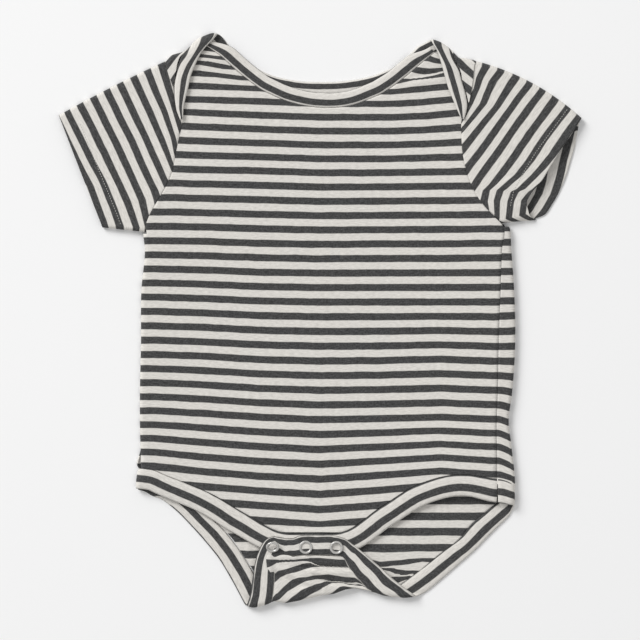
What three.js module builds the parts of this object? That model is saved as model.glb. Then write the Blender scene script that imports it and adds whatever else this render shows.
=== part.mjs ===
// Striped short-sleeved baby bodysuit, laid flat on its back with the crotch flap folded up.
// Millimetres. +X is to the right and +Y is up in the flat view, +Z points away from the surface.
import * as THREE from 'three';

// Cloth and layer sizes
const CLOTH_WALL = 1.0;
const BINDING_WALL = 1.8;
const BINDING_LIFT = (BINDING_WALL - CLOTH_WALL) / 2;
const SEAM_GAP = 0.4;
const BACK_MIDDLE = CLOTH_WALL / 2;
const SIDE_ROLL = 2.2;
const SHOULDER_ROLL = 2.2;
const CROTCH_ROLL = 2.05;
const NECK_BINDING_WIDTH = 9.6;
const LEG_BINDING_WIDTH = 12.8;

// Grid counts
const COLUMNS_STRAP = 5;
const COLUMNS_NECK = 10;
const COLUMNS_BODY = COLUMNS_STRAP * 2 + COLUMNS_NECK;
const ROWS_BETWEEN = 1;
const ARC_STEPS = 6;
const BINDING_COLUMNS = 2;

// Share of the body's width at each of the eleven named columns of a key row
const COLUMN_SHARE = [0, 0.096, 0.19, 0.287, 0.39, 0.49, 0.6, 0.7, 0.8, 0.9, 1];

// Front panel, leg edge: x, y, z from the wearer's right side to the left side
const FRONT_LEG_ROW = [
  [-115.1, -98.2, 4.9],
  [-95.4, -103.3, 4.4],
  [-71, -113.9, 3.7],
  [-49.2, -126.7, 3.1],
  [-24.1, -139.3, 2.8],
  [-5, -139.6, 2.7],
  [14.2, -139.3, 2.8],
  [39.9, -122.8, 3.1],
  [65, -107.6, 3.7],
  [90.8, -101, 4.4],
  [116.8, -104, 4.9],
];

// Front panel, one row higher where the leg curve flattens out
const FRONT_HIP_ROW = [
  [-115.4, -82.5, 4.9],
  [-93.4, -85.8, 4.2],
  [-69, -91.1, 3.4],
  [-45.9, -98.3, 2.8],
  [-24.1, -106.3, 2.5],
  [-3.6, -108.9, 2.4],
  [16.8, -106.3, 2.5],
  [41.2, -95.7, 2.8],
  [65, -87.1, 3.4],
  [90.8, -82.5, 4.2],
  [116.7, -83.8, 4.9],
];

// Front panel body rows: left x, left y, right x, right y, height at the sides, height in the middle
const FRONT_BODY_ROWS = [
  [-115.8, -65.3, 116.5, -66, 4.9, 2.4],
  [-115.8, -46.9, 117.2, -46.9, 4.9, 2.4],
  [-115.1, -15.2, 117.8, -15.2, 4.9, 2.4],
  [-114.8, 20.5, 119.1, 20.5, 4.9, 2.4],
  [-112.5, 46.9, 120.1, 46.9, 4.9, 2.4],
  [-112.9, 57.4, 121.1, 62, 4.9, 2.5],
  [-108.7, 75.9, 108.2, 76.2, 4.6, 2.5],
  [-103.4, 85.1, 101.6, 86.3, 4.3, 2.6],
  [-97.4, 98.3, 97.4, 97.7, 3.9, 2.7],
  [-95.8, 107.6, 94.9, 110.2, 3.5, 2.8],
  [-93.9, 117.9, 94.3, 122.8, 3.2, 2.8],
];

// Front panel yoke row, which carries the bottom of the neck opening between its fourth and eighth points
const FRONT_YOKE_ROW = [
  [-91, 130.5, 2.9],
  [-74.9, 137.9, 2.8],
  [-56.4, 145.5, 2.8],
  [-38, 152, 2.8],
  [-20.1, 144.3, 2.8],
  [0.3, 140.6, 2.8],
  [20.1, 141.8, 2.8],
  [39.3, 148.8, 2.8],
  [57.8, 143.2, 2.8],
  [76.2, 137.9, 2.8],
  [94.7, 132.7, 2.9],
];

// Front shoulder straps: armhole edge and neck edge, from the yoke row to the end below the shoulder fold
const FRONT_LEFT_STRAP = [
  [[-93.1, 137.9, 2.75], [-48.2, 159.7, 2.75]],
  [[-95, 147.2, 2.7], [-56.4, 166.5, 2.7]],
  [[-96.2, 156.4, 2.7], [-65, 174.5, 2.7]],
  [[-98.3, 165.3, 2.7], [-72.3, 179.2, 2.7]],
];
const FRONT_RIGHT_STRAP = [
  [[49.2, 155.1, 2.75], [96.7, 139.9, 2.75]],
  [[59.1, 163, 2.7], [98.7, 149.2, 2.7]],
  [[68, 170.5, 2.7], [99.7, 157.7, 2.7]],
  [[75.9, 177, 2.7], [100, 165.3, 2.7]],
];

// Back panel on the surface: left x, left y, right x, right y, from the crotch up to the armholes
const BACK_BODY_ROWS = [
  [-38.6, -176.2, 50.5, -176.2],
  [-43.9, -164.3, 66.7, -164.3],
  [-50.5, -154.4, 78.9, -154.4],
  [-57.8, -143.2, 91.4, -143.2],
  [-67, -134, 99.7, -134],
  [-76.9, -126.7, 107.2, -126.7],
  [-86.8, -116.8, 115.2, -120.5],
  [-97.4, -107.6, 120.1, -116.8],
  [-107.2, -102, 123.4, -114.2],
  [-115.1, -98.2, 125.7, -111.9],
  [-115.4, -82.5, 124.1, -83.8],
  [-115.8, -65.3, 122.1, -66],
  [-115.8, -46.9, 124.4, -46.9],
  [-115.1, -15.2, 126.4, -15.2],
  [-114.8, 20.5, 125.7, 20.5],
  [-112.5, 46.9, 123.8, 46.9],
  [-112.9, 57.4, 122.4, 62],
  [-108.7, 75.9, 108.2, 76.2],
  [-103.4, 85.1, 101.6, 86.3],
  [-97.4, 98.3, 97.4, 97.7],
  [-95.8, 107.6, 94.9, 110.2],
  [-93.9, 117.9, 94.3, 122.8],
];

// Back panel yoke row along the bottom of the back neck opening
const BACK_YOKE_ROW = [
  [-91, 130.5],
  [-77.5, 140.6],
  [-64.4, 150.8],
  [-49.8, 160.2],
  [-36.6, 153.5],
  [-19.5, 149.2],
  [0.3, 147.8],
  [20.1, 148.8],
  [36, 151.8],
  [55.4, 159.4],
  [69, 150.5],
  [82.2, 141.2],
  [94.7, 132.7],
];

// Crotch fold: the outermost edge of the folded cloth, x and y, and the top edge of the folded-up panel
const CROTCH_FOLD = [
  [-52.5, -187.1],
  [-42.8, -188.8],
  [-35.3, -186.8],
  [-30, -184.8],
  [-22.4, -186.1],
  [-11.6, -184.1],
  [0.3, -181.2],
  [9.6, -179.9],
  [16.8, -177.2],
  [23.4, -176.2],
  [32.7, -178.1],
  [41.9, -180.8],
  [55.8, -182.2],
  [66.3, -181.5],
];
const FLAP_ROWS = [
  [1, -22.1, 7.6],
  [0.72, -25.4, 16.8],
  [0.4, -29.4, 29.4],
  [0.12, -33.3, 43.2],
];
const FLAP_TOP = -155.3;
const FOLD_ROW = [
  [1, -34.6, 47.2],
  [0, -36.6, 49.2],
];

// Outermost bend lines of the sides, x and y
const LEFT_BEND = [
  [-118.6, -131.3],
  [-118.6, -98],
  [-115.4, -82.5],
];
const RIGHT_BEND = [
  [125.7, -137.9],
  [125.7, -104.3],
  [124.1, -83.8],
];

// Shoulder folds: a point on each fold line at the armhole, and the direction along it toward the neck
const LEFT_FOLD_CORNER = [-99.9, 168.5];
const LEFT_FOLD_ALONG = [0.871, 0.492];
const RIGHT_FOLD_CORNER = [100.7, 169.2];
const RIGHT_FOLD_ALONG = [-0.885, 0.465];

// Back shoulder straps below and above the fold, in millimetres.
// Columns: distance past the fold line, then along it the armhole edge, the cloth edge and the neck edge.
const LEFT_SHOULDER = [
  [
    [-31.4, -11.6, 39.6, 50.1],
    [-22, -7.5, 34, 45],
    [-12, -3.6, 31.6, 42],
    [-5, -2.3, 29.5, 41],
    [0, -0.8, 26.5, 40.4],
  ],
  [
    [0, -0.6, 10.6, 32.1],
    [3.3, -2.1, 6.6, 23.4],
    [6.6, -2.8, 3.3, 19.1],
    [9.5, -3.2, 0.9, 15],
    [13.2, -3.8, -2.4, 10.2],
    [21.1, -6.8, -6.8, 3.1],
    [28.5, -9.7, -9.7, -4],
    [36, -10.8, -10.8, -8.8],
  ],
];
const RIGHT_SHOULDER = [
  [
    [-28.6, -10.7, 35.6, 46.1],
    [-18, -8.2, 31.4, 41.4],
    [-12, -6, 29.4, 39],
    [-5.7, -3.2, 27, 37.3],
    [0, -1.6, 22.4, 33.8],
  ],
  [
    [0, -1.4, 15.2, 30.3],
    [2.7, -2.4, 12.5, 25.4],
    [8.7, -5, 6.3, 18.8],
    [12.1, -6.2, 3.3, 15.6],
    [17.3, -8, -2.4, 10.9],
    [22, -9.4, -6.6, 6.3],
    [25.5, -10.2, -9.8, 2],
    [30, -11.2, -11.2, -3.3],
    [35.5, -12.2, -12.2, -10.2],
  ],
];

// How far each shoulder fold stands out from its straight line: distance along the fold, distance outward
const LEFT_FOLD_BULGE = [
  [0, 0.3],
  [5.6, 2.2],
  [13, 0.2],
  [18.4, 0.9],
  [24.4, 3.2],
  [35.7, 1.8],
  [40.4, -1.2],
];
const RIGHT_FOLD_BULGE = [
  [0, 0.4],
  [5, -1],
  [10, -3],
  [15, -1.2],
  [18.6, 0],
  [25, 0.6],
  [30.3, 0],
  [33.8, -1.8],
];
const FOLD_BULGE_REACH = 7;


// Sleeves: x, y and height of the upper cloth along the armhole seam and along the cuff
const LEFT_ARMHOLE = [
  [-101.8, 168, 4.2],
  [-100.3, 161.7, 4.2],
  [-98.3, 155.1, 4.2],
  [-96.6, 145.9, 4.2],
  [-95.9, 137.9, 4.1],
  [-94.3, 130.7, 3.9],
  [-95.4, 117.9, 3.9],
  [-97, 107.6, 4.1],
  [-98.5, 99, 4.3],
  [-104.5, 85.5, 4.6],
  [-109.8, 76.4, 4.8],
  [-114.2, 67.3, 4.8],
  [-115.6, 61.5, 4.8],
];
const LEFT_CUFF = [
  [-171, 133.7, 4],
  [-158.4, 101, 4.3],
  [-143.7, 63.7, 4],
];
const RIGHT_ARMHOLE = [
  [102.9, 168, 4.2],
  [102.4, 161, 4.2],
  [101.4, 153.8, 4.2],
  [100.5, 146.5, 4.2],
  [98.4, 137.3, 4],
  [96.3, 130.7, 3.9],
  [95.4, 122.8, 3.9],
  [96, 110.2, 4.1],
  [98.5, 97.8, 4.3],
  [102.8, 86.8, 4.6],
  [109.4, 76.8, 4.8],
  [115.8, 71, 4.8],
  [120, 67.2, 4.8],
];
const RIGHT_CUFF_FRONT = [
  [171, 132, 4],
  [152.8, 110.2, 5.2],
  [140.9, 94.4, 5.4],
  [135.6, 85.1, 5.4],
  [137.1, 77.9, 5.2],
  [138.3, 71.6, 4.4],
];
const RIGHT_CUFF_BACK = [
  [171, 132],
  [166.7, 119.5],
  [160.1, 93.1],
  [153.5, 79.9],
  [147.5, 70.6],
  [141.6, 68.6],
];

// Snap rings on the flap's top binding: x, y, and a profile of radius and height
const SNAP_CENTRES = [
  [-30.8, -148.4],
  [-9.1, -148.9],
  [11.1, -149],
];
const SNAP_PROFILE = [[2.8, 0], [4.4, 0], [4.4, 0.55], [4.1, 0.95], [3.6, 1.1], [3.1, 0.95], [2.8, 0.55]];
const SNAP_SEGMENTS = 32;

const SLEEVE_COLUMNS = 10;
const SLEEVE_ARC_STEPS = 4;
const SLEEVE_RINGS = 9;

function mix(from, to, share) {
  return from.map((value, axis) => value + (to[axis] - value) * share);
}

// A point on a smooth curve through the points, at a position counted in points
function curvePoint(points, position) {
  const last = points.length - 1;
  const first = Math.max(0, Math.min(Math.floor(position), last - 1));
  const share = position - first;
  const before = points[Math.max(first - 1, 0)];
  const start = points[first];
  const end = points[first + 1];
  const after = points[Math.min(first + 2, last)];
  return start.map((value, axis) => {
    const slopeIn = (end[axis] - before[axis]) / 2;
    const slopeOut = (after[axis] - value) / 2;
    const cube = 2 * (value - end[axis]) + slopeIn + slopeOut;
    const square = 3 * (end[axis] - value) - 2 * slopeIn - slopeOut;
    return value + share * (slopeIn + share * (square + share * cube));
  });
}

function curve(points, intervals) {
  const last = points.length - 1;
  return Array.from({ length: intervals + 1 }, (_, k) => curvePoint(points, (k * last) / intervals));
}

// A curve in three runs, with corners kept where the straps meet the neck opening
function rowAcross(points, leftCorner, rightCorner) {
  const left = curve(points.slice(0, leftCorner + 1), COLUMNS_STRAP);
  const neck = curve(points.slice(leftCorner, rightCorner + 1), COLUMNS_NECK);
  const right = curve(points.slice(rightCorner), COLUMNS_STRAP);
  return [...left, ...neck.slice(1), ...right.slice(1)];
}

function rowBetween(start, end) {
  const points = COLUMN_SHARE.map((share) => mix(start, end, share));
  return rowAcross(points, 3, 7);
}

// Extra rows between each pair of key rows
function fillRows(keyRows, between) {
  const rows = [];
  keyRows.forEach((row, index) => {
    if (index > 0) {
      for (let step = 1; step <= between; step += 1) {
        const share = step / (between + 1);
        rows.push(keyRows[index - 1].map((point, column) => mix(point, row[column], share)));
      }
    }
    rows.push(row);
  });
  return rows;
}

// Distance past a fold line becomes a place on the lower layer, around the fold, or on the upper layer.
// The lift moves a point toward the inside of the garment.
function foldedPoint(foot, outward, radius, distance, lift = 0) {
  const arc = Math.PI * radius;
  const turned = radius - lift;
  let reach = distance;
  let height = BACK_MIDDLE + lift;
  if (distance > arc) {
    reach = arc - distance;
    height = BACK_MIDDLE + radius + turned;
  } else if (distance > 0) {
    reach = turned * Math.sin(distance / radius);
    height = BACK_MIDDLE + radius - turned * Math.cos(distance / radius);
  }
  return [foot[0] + outward[0] * reach, foot[1] + outward[1] * reach, height];
}

// One closed cloth wall from a grid of points on its middle surface
function wallFromGrid(rows, wall, hasCell = () => true, isRing = false) {
  const columnCount = rows[0].length;
  const columnCells = isRing ? columnCount : columnCount - 1;
  const rowCells = rows.length - 1;
  const point = (i, j) => new THREE.Vector3(...rows[i][j % columnCount]);
  const key = (i, j) => i * columnCount + (j % columnCount);
  const filled = (i, j) => {
    if (i < 0 || i >= rowCells) return false;
    if (isRing) return hasCell(i, (j + columnCells) % columnCells);
    return j >= 0 && j < columnCells && hasCell(i, j);
  };
  const normals = new Map();
  const cells = [];
  for (let i = 0; i < rowCells; i += 1) {
    for (let j = 0; j < columnCells; j += 1) {
      if (!filled(i, j)) continue;
      cells.push([i, j]);
      const across = point(i + 1, j + 1).sub(point(i, j));
      const back = point(i + 1, j).sub(point(i, j + 1));
      const normal = across.cross(back);
      [[i, j], [i, j + 1], [i + 1, j + 1], [i + 1, j]].forEach(([row, column]) => {
        const sum = normals.get(key(row, column)) ?? new THREE.Vector3();
        normals.set(key(row, column), sum.add(normal));
      });
    }
  }
  const positions = [];
  const slot = new Map();
  const corner = (i, j) => {
    const name = key(i, j);
    if (!slot.has(name)) {
      slot.set(name, positions.length / 3);
      const offset = normals.get(name).clone().normalize().multiplyScalar(wall / 2);
      const middle = point(i, j);
      positions.push(...middle.clone().add(offset).toArray());
      positions.push(...middle.clone().sub(offset).toArray());
    }
    return slot.get(name);
  };
  const faces = [];
  const side = (from, to) => faces.push(to, from, from + 1, to, from + 1, to + 1);
  cells.forEach(([i, j]) => {
    const a = corner(i, j);
    const b = corner(i, j + 1);
    const c = corner(i + 1, j + 1);
    const d = corner(i + 1, j);
    faces.push(a, b, c, a, c, d);
    faces.push(a + 1, c + 1, b + 1, a + 1, d + 1, c + 1);
    if (!filled(i - 1, j)) side(a, b);
    if (!filled(i, j + 1)) side(b, c);
    if (!filled(i + 1, j)) side(c, d);
    if (!filled(i, j - 1)) side(d, a);
  });
  return closedGeometry(positions, faces);
}

function closedGeometry(positions, faces) {
  let volume = 0;
  for (let k = 0; k < faces.length; k += 3) {
    const [a, b, c] = [faces[k], faces[k + 1], faces[k + 2]].map(
      (index) => new THREE.Vector3(...positions.slice(index * 3, index * 3 + 3)),
    );
    volume += a.dot(b.cross(c)) / 6;
  }
  const outward = [];
  for (let k = 0; k < faces.length; k += 3) {
    if (volume > 0) outward.push(faces[k], faces[k + 1], faces[k + 2]);
    else outward.push(faces[k], faces[k + 2], faces[k + 1]);
  }
  const geometry = new THREE.BufferGeometry();
  geometry.setAttribute('position', new THREE.Float32BufferAttribute(positions, 3));
  geometry.setIndex(outward);
  geometry.computeVertexNormals();
  return geometry;
}

// Points moved sideways from a path, to the left of its direction
function besidePath(path, distance) {
  return path.map((point, index) => {
    const before = path[Math.max(index - 1, 0)];
    const after = path[Math.min(index + 1, path.length - 1)];
    const dx = after[0] - before[0];
    const dy = after[1] - before[1];
    const length = Math.hypot(dx, dy);
    return [point[0] - (dy / length) * distance, point[1] + (dx / length) * distance, ...point.slice(2)];
  });
}

function strip(innerEdge, outerEdge, place, columns = BINDING_COLUMNS) {
  return innerEdge.map((inner, station) => {
    const shares = Array.from({ length: columns + 1 }, (_, k) => k / columns);
    return shares.map((share) => place(mix(inner, outerEdge[station], share), station, share));
  });
}

// Front panel: body rows with the heights across, yoke row, straps and the roll at the left side
function frontBodyRow([leftX, leftY, rightX, rightY, sideHeight, middleHeight]) {
  return rowBetween([leftX, leftY, 0], [rightX, rightY, 1]).map(([x, y, share]) => {
    const fromMiddle = Math.abs(share * 2 - 1) ** 2.4;
    return [x, y, middleHeight + (sideHeight - middleHeight) * fromMiddle];
  });
}

const frontKeyRows = [
  rowAcross(FRONT_LEG_ROW, 3, 7),
  rowAcross(FRONT_HIP_ROW, 3, 7),
  ...FRONT_BODY_ROWS.map(frontBodyRow),
  rowAcross(FRONT_YOKE_ROW, 3, 7),
];

// Grid rows of the underarm and the yoke, counted after the extra rows are filled in
const FRONT_UNDERARM = 7 * (ROWS_BETWEEN + 1);
const BACK_UNDERARM_KEY = 16;
const LEFT_ROLL_COLUMNS = 4;
const LEFT_BACK_COLUMNS = 3;
const LEG_REGION_TOP = -78.5;
const FRONT_ROLL_TURN = (100 * Math.PI) / 180;
const BACK_ROLL_TURN = (68 * Math.PI) / 180;

function valueAt(points, from, axis, position) {
  const rising = [...points].sort((a, b) => a[from] - b[from]);
  const next = rising.findIndex((point) => point[from] >= position);
  if (next < 0) return rising[rising.length - 1][axis];
  if (next === 0) return rising[0][axis];
  const low = rising[next - 1];
  const high = rising[next];
  const share = (position - low[from]) / (high[from] - low[from]);
  return low[axis] + (high[axis] - low[axis]) * share;
}

const leftBend = (y) => valueAt(LEFT_BEND, 1, 0, y);
const rightBend = (y) => valueAt(RIGHT_BEND, 1, 0, y);
const crotchBend = (x) => valueAt(CROTCH_FOLD, 0, 1, x) + CROTCH_ROLL + CLOTH_WALL / 2;

function leftRollFromTop(x, y, turn) {
  return [x - SIDE_ROLL * Math.sin(turn), y, BACK_MIDDLE + SIDE_ROLL + SIDE_ROLL * Math.cos(turn)];
}

function strapRow(rows, leftRow, rightRow) {
  const left = curve(leftRow, COLUMNS_STRAP);
  const right = curve(rightRow, COLUMNS_STRAP);
  const neck = Array.from({ length: COLUMNS_NECK - 1 }, () => [0, 0, 0]);
  rows.push([...left, ...neck, ...right]);
}

const frontRows = fillRows(frontKeyRows, ROWS_BETWEEN);
const FRONT_YOKE = frontRows.length - 1;
const frontYokeRow = frontRows[FRONT_YOKE];
const leftStrapKeys = [[frontYokeRow[0], frontYokeRow[COLUMNS_STRAP]], ...FRONT_LEFT_STRAP];
const rightStrapKeys = [[frontYokeRow[COLUMNS_BODY - COLUMNS_STRAP], frontYokeRow[COLUMNS_BODY]], ...FRONT_RIGHT_STRAP];
const leftStrapRows = fillRows(leftStrapKeys, ROWS_BETWEEN).slice(1);
const rightStrapRows = fillRows(rightStrapKeys, ROWS_BETWEEN).slice(1);
leftStrapRows.forEach((row, index) => strapRow(frontRows, row, rightStrapRows[index]));

const frontGrid = frontRows.map((row) => {
  const turns = Array.from({ length: LEFT_ROLL_COLUMNS }, (_, k) => FRONT_ROLL_TURN * (1 - k / LEFT_ROLL_COLUMNS));
  return [...turns.map((turn) => leftRollFromTop(row[0][0], row[0][1], turn)), ...row];
});

function frontHasCell(i, j) {
  if (j < LEFT_ROLL_COLUMNS) return i < FRONT_UNDERARM;
  const column = j - LEFT_ROLL_COLUMNS;
  return i < FRONT_YOKE || column < COLUMNS_STRAP || column >= COLUMNS_BODY - COLUMNS_STRAP;
}

// Back panel: folded-up flap, crotch fold, tongue and body, then the straps and their folded ends
const crotchFlatY = (x, distance) => crotchBend(x) - distance;
const crotchArc = Math.PI * CROTCH_ROLL;
const flat = [];
FLAP_ROWS.forEach(([share, left, right]) => {
  flat.push(rowBetween([left, 0], [right, 0]).map(([x]) => {
    const reach = (FLAP_TOP - crotchBend(x)) * share;
    return [x, crotchFlatY(x, crotchArc + reach)];
  }));
});
for (let step = 0; step <= ARC_STEPS; step += 1) {
  const share = 1 - step / ARC_STEPS;
  const edges = mix(FOLD_ROW[1], FOLD_ROW[0], share);
  flat.push(rowBetween([edges[1], 0], [edges[2], 0]).map(([x]) => [x, crotchFlatY(x, crotchArc * share)]));
}
const FIRST_BODY_ROW = flat.length;
BACK_BODY_ROWS.forEach(([leftX, leftY, rightX, rightY]) => flat.push(rowBetween([leftX, leftY], [rightX, rightY])));
flat.push(rowAcross(BACK_YOKE_ROW, 3, 9));
const backFlat = [
  ...flat.slice(0, FIRST_BODY_ROW),
  ...fillRows(flat.slice(FIRST_BODY_ROW), ROWS_BETWEEN),
];
const bodyRow = (key) => FIRST_BODY_ROW + key * (ROWS_BETWEEN + 1);
const BACK_LEG_TOP = bodyRow(9);
const BACK_UNDERARM = bodyRow(BACK_UNDERARM_KEY);
const BACK_YOKE = backFlat.length - 1;

function placeBack(x, y, lift = 0) {
  if (y > LEG_REGION_TOP) return [x, y, BACK_MIDDLE + lift];
  if (x > rightBend(y)) return foldedPoint([rightBend(y), y], [1, 0], SIDE_ROLL, x - rightBend(y), lift);
  if (x < leftBend(y)) return foldedPoint([leftBend(y), y], [-1, 0], SIDE_ROLL, leftBend(y) - x, lift);
  return foldedPoint([x, crotchBend(x)], [0, -1], CROTCH_ROLL, crotchBend(x) - y, lift);
}

const seamEdge = frontKeyRows.slice(0, 8).map((row) => row[row.length - 1]);
const RIGHT_ROLL_STEPS = 6;
const RIGHT_RETURN_STEPS = 2;

function rightRollDistances(bendX, y) {
  const arc = Math.PI * SIDE_ROLL;
  const seamX = valueAt(seamEdge, 1, 0, y) + SEAM_GAP;
  const back = bendX - seamX;
  const distances = [];
  for (let step = 1; step <= RIGHT_ROLL_STEPS; step += 1) distances.push((arc * step) / RIGHT_ROLL_STEPS);
  for (let step = 1; step <= RIGHT_RETURN_STEPS; step += 1) distances.push(arc + (back * step) / RIGHT_RETURN_STEPS);
  return distances;
}

// The bottom edge of the rolled side climbs to the seam
const SEAM_FOOT = -104;
function rollHeight(rowY, share, isLegTop) {
  if (!isLegTop) return rowY;
  return rowY + (SEAM_FOOT - rowY) * (1 - (1 - share) ** 2);
}

function rightRollFlat(row, isLegTop) {
  const [bendX, rowY] = row[COLUMNS_BODY];
  const distances = rightRollDistances(bendX, rowY);
  const longest = distances[distances.length - 1];
  return distances.map((distance) => [bendX + distance, rollHeight(rowY, distance / longest, isLegTop)]);
}

const backGrid = backFlat.map((row, index) => {
  const [leftX, leftY] = row[0];
  const [bendX] = row[COLUMNS_BODY];
  const turns = Array.from({ length: LEFT_BACK_COLUMNS }, (_, k) => BACK_ROLL_TURN * (1 - k / LEFT_BACK_COLUMNS));
  const left = turns.map((turn) => foldedPoint([leftX, leftY], [-1, 0], SIDE_ROLL, SIDE_ROLL * turn));
  const middle = row.map(([x, y]) => foldedPoint([x, crotchBend(x)], [0, -1], CROTCH_ROLL, crotchBend(x) - y));
  const rolled = rightRollFlat(row, index === BACK_LEG_TOP);
  const right = rolled.map(([x, y]) => foldedPoint([bendX, y], [1, 0], SIDE_ROLL, x - bendX));
  return [...left, ...middle, ...right];
});

// Shoulder straps of the back panel in rows along each fold line
function shoulder(corner, along, table, bulge) {
  const outward = along[0] > 0 ? [-along[1], along[0]] : [along[1], -along[0]];
  const arc = Math.PI * SHOULDER_ROLL;
  const [under, over] = table;
  const rows = [...under];
  const last = under[under.length - 1];
  for (let step = 1; step < ARC_STEPS; step += 1) {
    const share = step / ARC_STEPS;
    rows.push([arc * share, ...mix(last, over[0], share).slice(1)]);
  }
  over.forEach(([past, ...edges]) => rows.push([arc + past, ...edges]));
  const place = (distance, position, lift = 0) => {
    const fade = Math.exp(-(((distance - arc / 2) / FOLD_BULGE_REACH) ** 2));
    const out = valueAt(bulge, 0, 1, position) * fade;
    const foot = [corner[0] + along[0] * position + outward[0] * out, corner[1] + along[1] * position + outward[1] * out];
    return foldedPoint(foot, outward, SHOULDER_ROLL, distance, lift);
  };
  return { rows, place, arc };
}

const leftShoulder = shoulder(LEFT_FOLD_CORNER, LEFT_FOLD_ALONG, LEFT_SHOULDER, LEFT_FOLD_BULGE);
const rightShoulder = shoulder(RIGHT_FOLD_CORNER, RIGHT_FOLD_ALONG, RIGHT_SHOULDER, RIGHT_FOLD_BULGE);
const STRAP_CLOTH_GAP = 0.9;
const STRAP_MINIMUM = 0.8;

function clothStrapRows({ rows, place }, skip) {
  return rows
    .slice(skip)
    .filter(([, armhole, cloth]) => cloth - STRAP_CLOTH_GAP - armhole > STRAP_MINIMUM)
    .map(([distance, armhole, cloth]) => [
      place(distance, armhole),
      place(distance, cloth - STRAP_CLOTH_GAP),
    ]);
}

const leftClothRows = clothStrapRows(leftShoulder, 1);
const rightClothRows = clothStrapRows(rightShoulder, 1);
const strapCount = Math.max(leftClothRows.length, rightClothRows.length);
for (let index = 0; index < strapCount; index += 1) {
  const left = leftClothRows[Math.min(index, leftClothRows.length - 1)];
  const right = rightClothRows[Math.min(index, rightClothRows.length - 1)];
  const between = Array.from({ length: COLUMNS_NECK - 1 }, () => [0, 0, 0]);
  const start = Array.from({ length: LEFT_BACK_COLUMNS }, () => [0, 0, 0]);
  const end = Array.from({ length: RIGHT_ROLL_STEPS + RIGHT_RETURN_STEPS }, () => [0, 0, 0]);
  const straps = [...curve(left, COLUMNS_STRAP), ...between, ...curve([right[1], right[0]], COLUMNS_STRAP)];
  backGrid.push([...start, ...straps, ...end]);
}

function backHasCell(i, j) {
  const column = j - LEFT_BACK_COLUMNS;
  const inRoll = column < 0 || column >= COLUMNS_BODY;
  if (inRoll) return i >= BACK_LEG_TOP && i < BACK_UNDERARM;
  if (i < BACK_YOKE) return true;
  if (column < COLUMNS_STRAP) return i - BACK_YOKE < leftClothRows.length;
  if (column >= COLUMNS_BODY - COLUMNS_STRAP) return i - BACK_YOKE < rightClothRows.length;
  return false;
}

// Front neck binding beside the front panel's neck edge
const frontNeckEdge = [
  ...frontRows.slice(FRONT_YOKE + 1).reverse().map((row) => row[COLUMNS_STRAP]),
  ...frontYokeRow.slice(COLUMNS_STRAP, COLUMNS_BODY - COLUMNS_STRAP + 1),
  ...frontRows.slice(FRONT_YOKE + 1).map((row) => row[COLUMNS_BODY - COLUMNS_STRAP]),
];
const FRONT_NECK_LIFT = 0.3;
const frontNeckRows = strip(
  besidePath(frontNeckEdge, SEAM_GAP),
  besidePath(frontNeckEdge, SEAM_GAP + NECK_BINDING_WIDTH),
  ([x, y, z]) => [x, y, z + FRONT_NECK_LIFT],
);

// Back neck binding: from one armhole over the shoulder, round the back neck and over the other
const LIFT_UNDER = BINDING_LIFT;
const LIFT_OVER = -0.35;
function shoulderBinding({ rows, place, arc }) {
  return rows.map(([distance, , cloth, neck]) => {
    const turned = Math.max(0, Math.min(1, distance / arc));
    const lift = LIFT_UNDER + (LIFT_OVER - LIFT_UNDER) * turned;
    const shares = Array.from({ length: BINDING_COLUMNS * 2 + 1 }, (_, k) => k / (BINDING_COLUMNS * 2));
    return shares.map((share) => place(distance, cloth + (neck - cloth) * share, lift));
  });
}
const backNeckEdge = backFlat[BACK_YOKE].slice(COLUMNS_STRAP + 1, COLUMNS_BODY - COLUMNS_STRAP);
const backNeckMiddle = strip(
  besidePath(backNeckEdge, SEAM_GAP),
  besidePath(backNeckEdge, SEAM_GAP + NECK_BINDING_WIDTH),
  ([x, y]) => [x, y, BACK_MIDDLE + LIFT_UNDER],
  BINDING_COLUMNS * 2,
);
const backNeckRows = [
  ...shoulderBinding(leftShoulder).reverse(),
  ...backNeckMiddle,
  ...shoulderBinding(rightShoulder),
];

// Front leg binding along the front panel's lower edge, with its end round the left side
const frontLegEdge = [
  [-122.5, -98.5, 4.9],
  [-120.7, -98.5, 4.9],
  [-118.6, -98.4, 4.9],
  ...frontRows[0],
];
const LEG_EDGE_LIFT = 0.1;
function placeFrontLeg([x, y, z]) {
  const bend = leftBend(y);
  if (x < bend) return leftRollFromTop(bend, y, (bend - x) / SIDE_ROLL);
  return [x, y, z + LEG_EDGE_LIFT];
}
const frontLegRows = strip(
  besidePath(frontLegEdge, -SEAM_GAP),
  besidePath(frontLegEdge, -SEAM_GAP - LEG_BINDING_WIDTH),
  placeFrontLeg,
);

// Back leg binding: down the left leg, round the folded-up flap and up the right leg to the side seam
const legRowStep = ROWS_BETWEEN + 1;
const legRows = backFlat.filter((_, index) => {
  if (index > BACK_LEG_TOP) return false;
  return index < FIRST_BODY_ROW || (index - FIRST_BODY_ROW) % legRowStep === 0;
});
const backLegEdge = [
  [-120.4, -98.6],
  [-118.6, -98.5],
  ...[...legRows].reverse().map((row) => row[0]),
  ...curve([legRows[0][0], legRows[0][COLUMNS_BODY]], 4).slice(1, -1),
  ...legRows.map((row) => row[COLUMNS_BODY]),
  ...rightRollFlat(backFlat[BACK_LEG_TOP], true),
];
const CROTCH_LIFT_OVER = -BINDING_LIFT;
function placeBackLeg([x, y]) {
  const past = (crotchBend(x) - y) / crotchArc;
  const turned = Math.max(0, Math.min(1, past));
  return placeBack(x, y, BINDING_LIFT + (CROTCH_LIFT_OVER - BINDING_LIFT) * turned);
}
const backLegRows = strip(
  besidePath(backLegEdge, -SEAM_GAP),
  besidePath(backLegEdge, -SEAM_GAP - LEG_BINDING_WIDTH),
  placeBackLeg,
);

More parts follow.
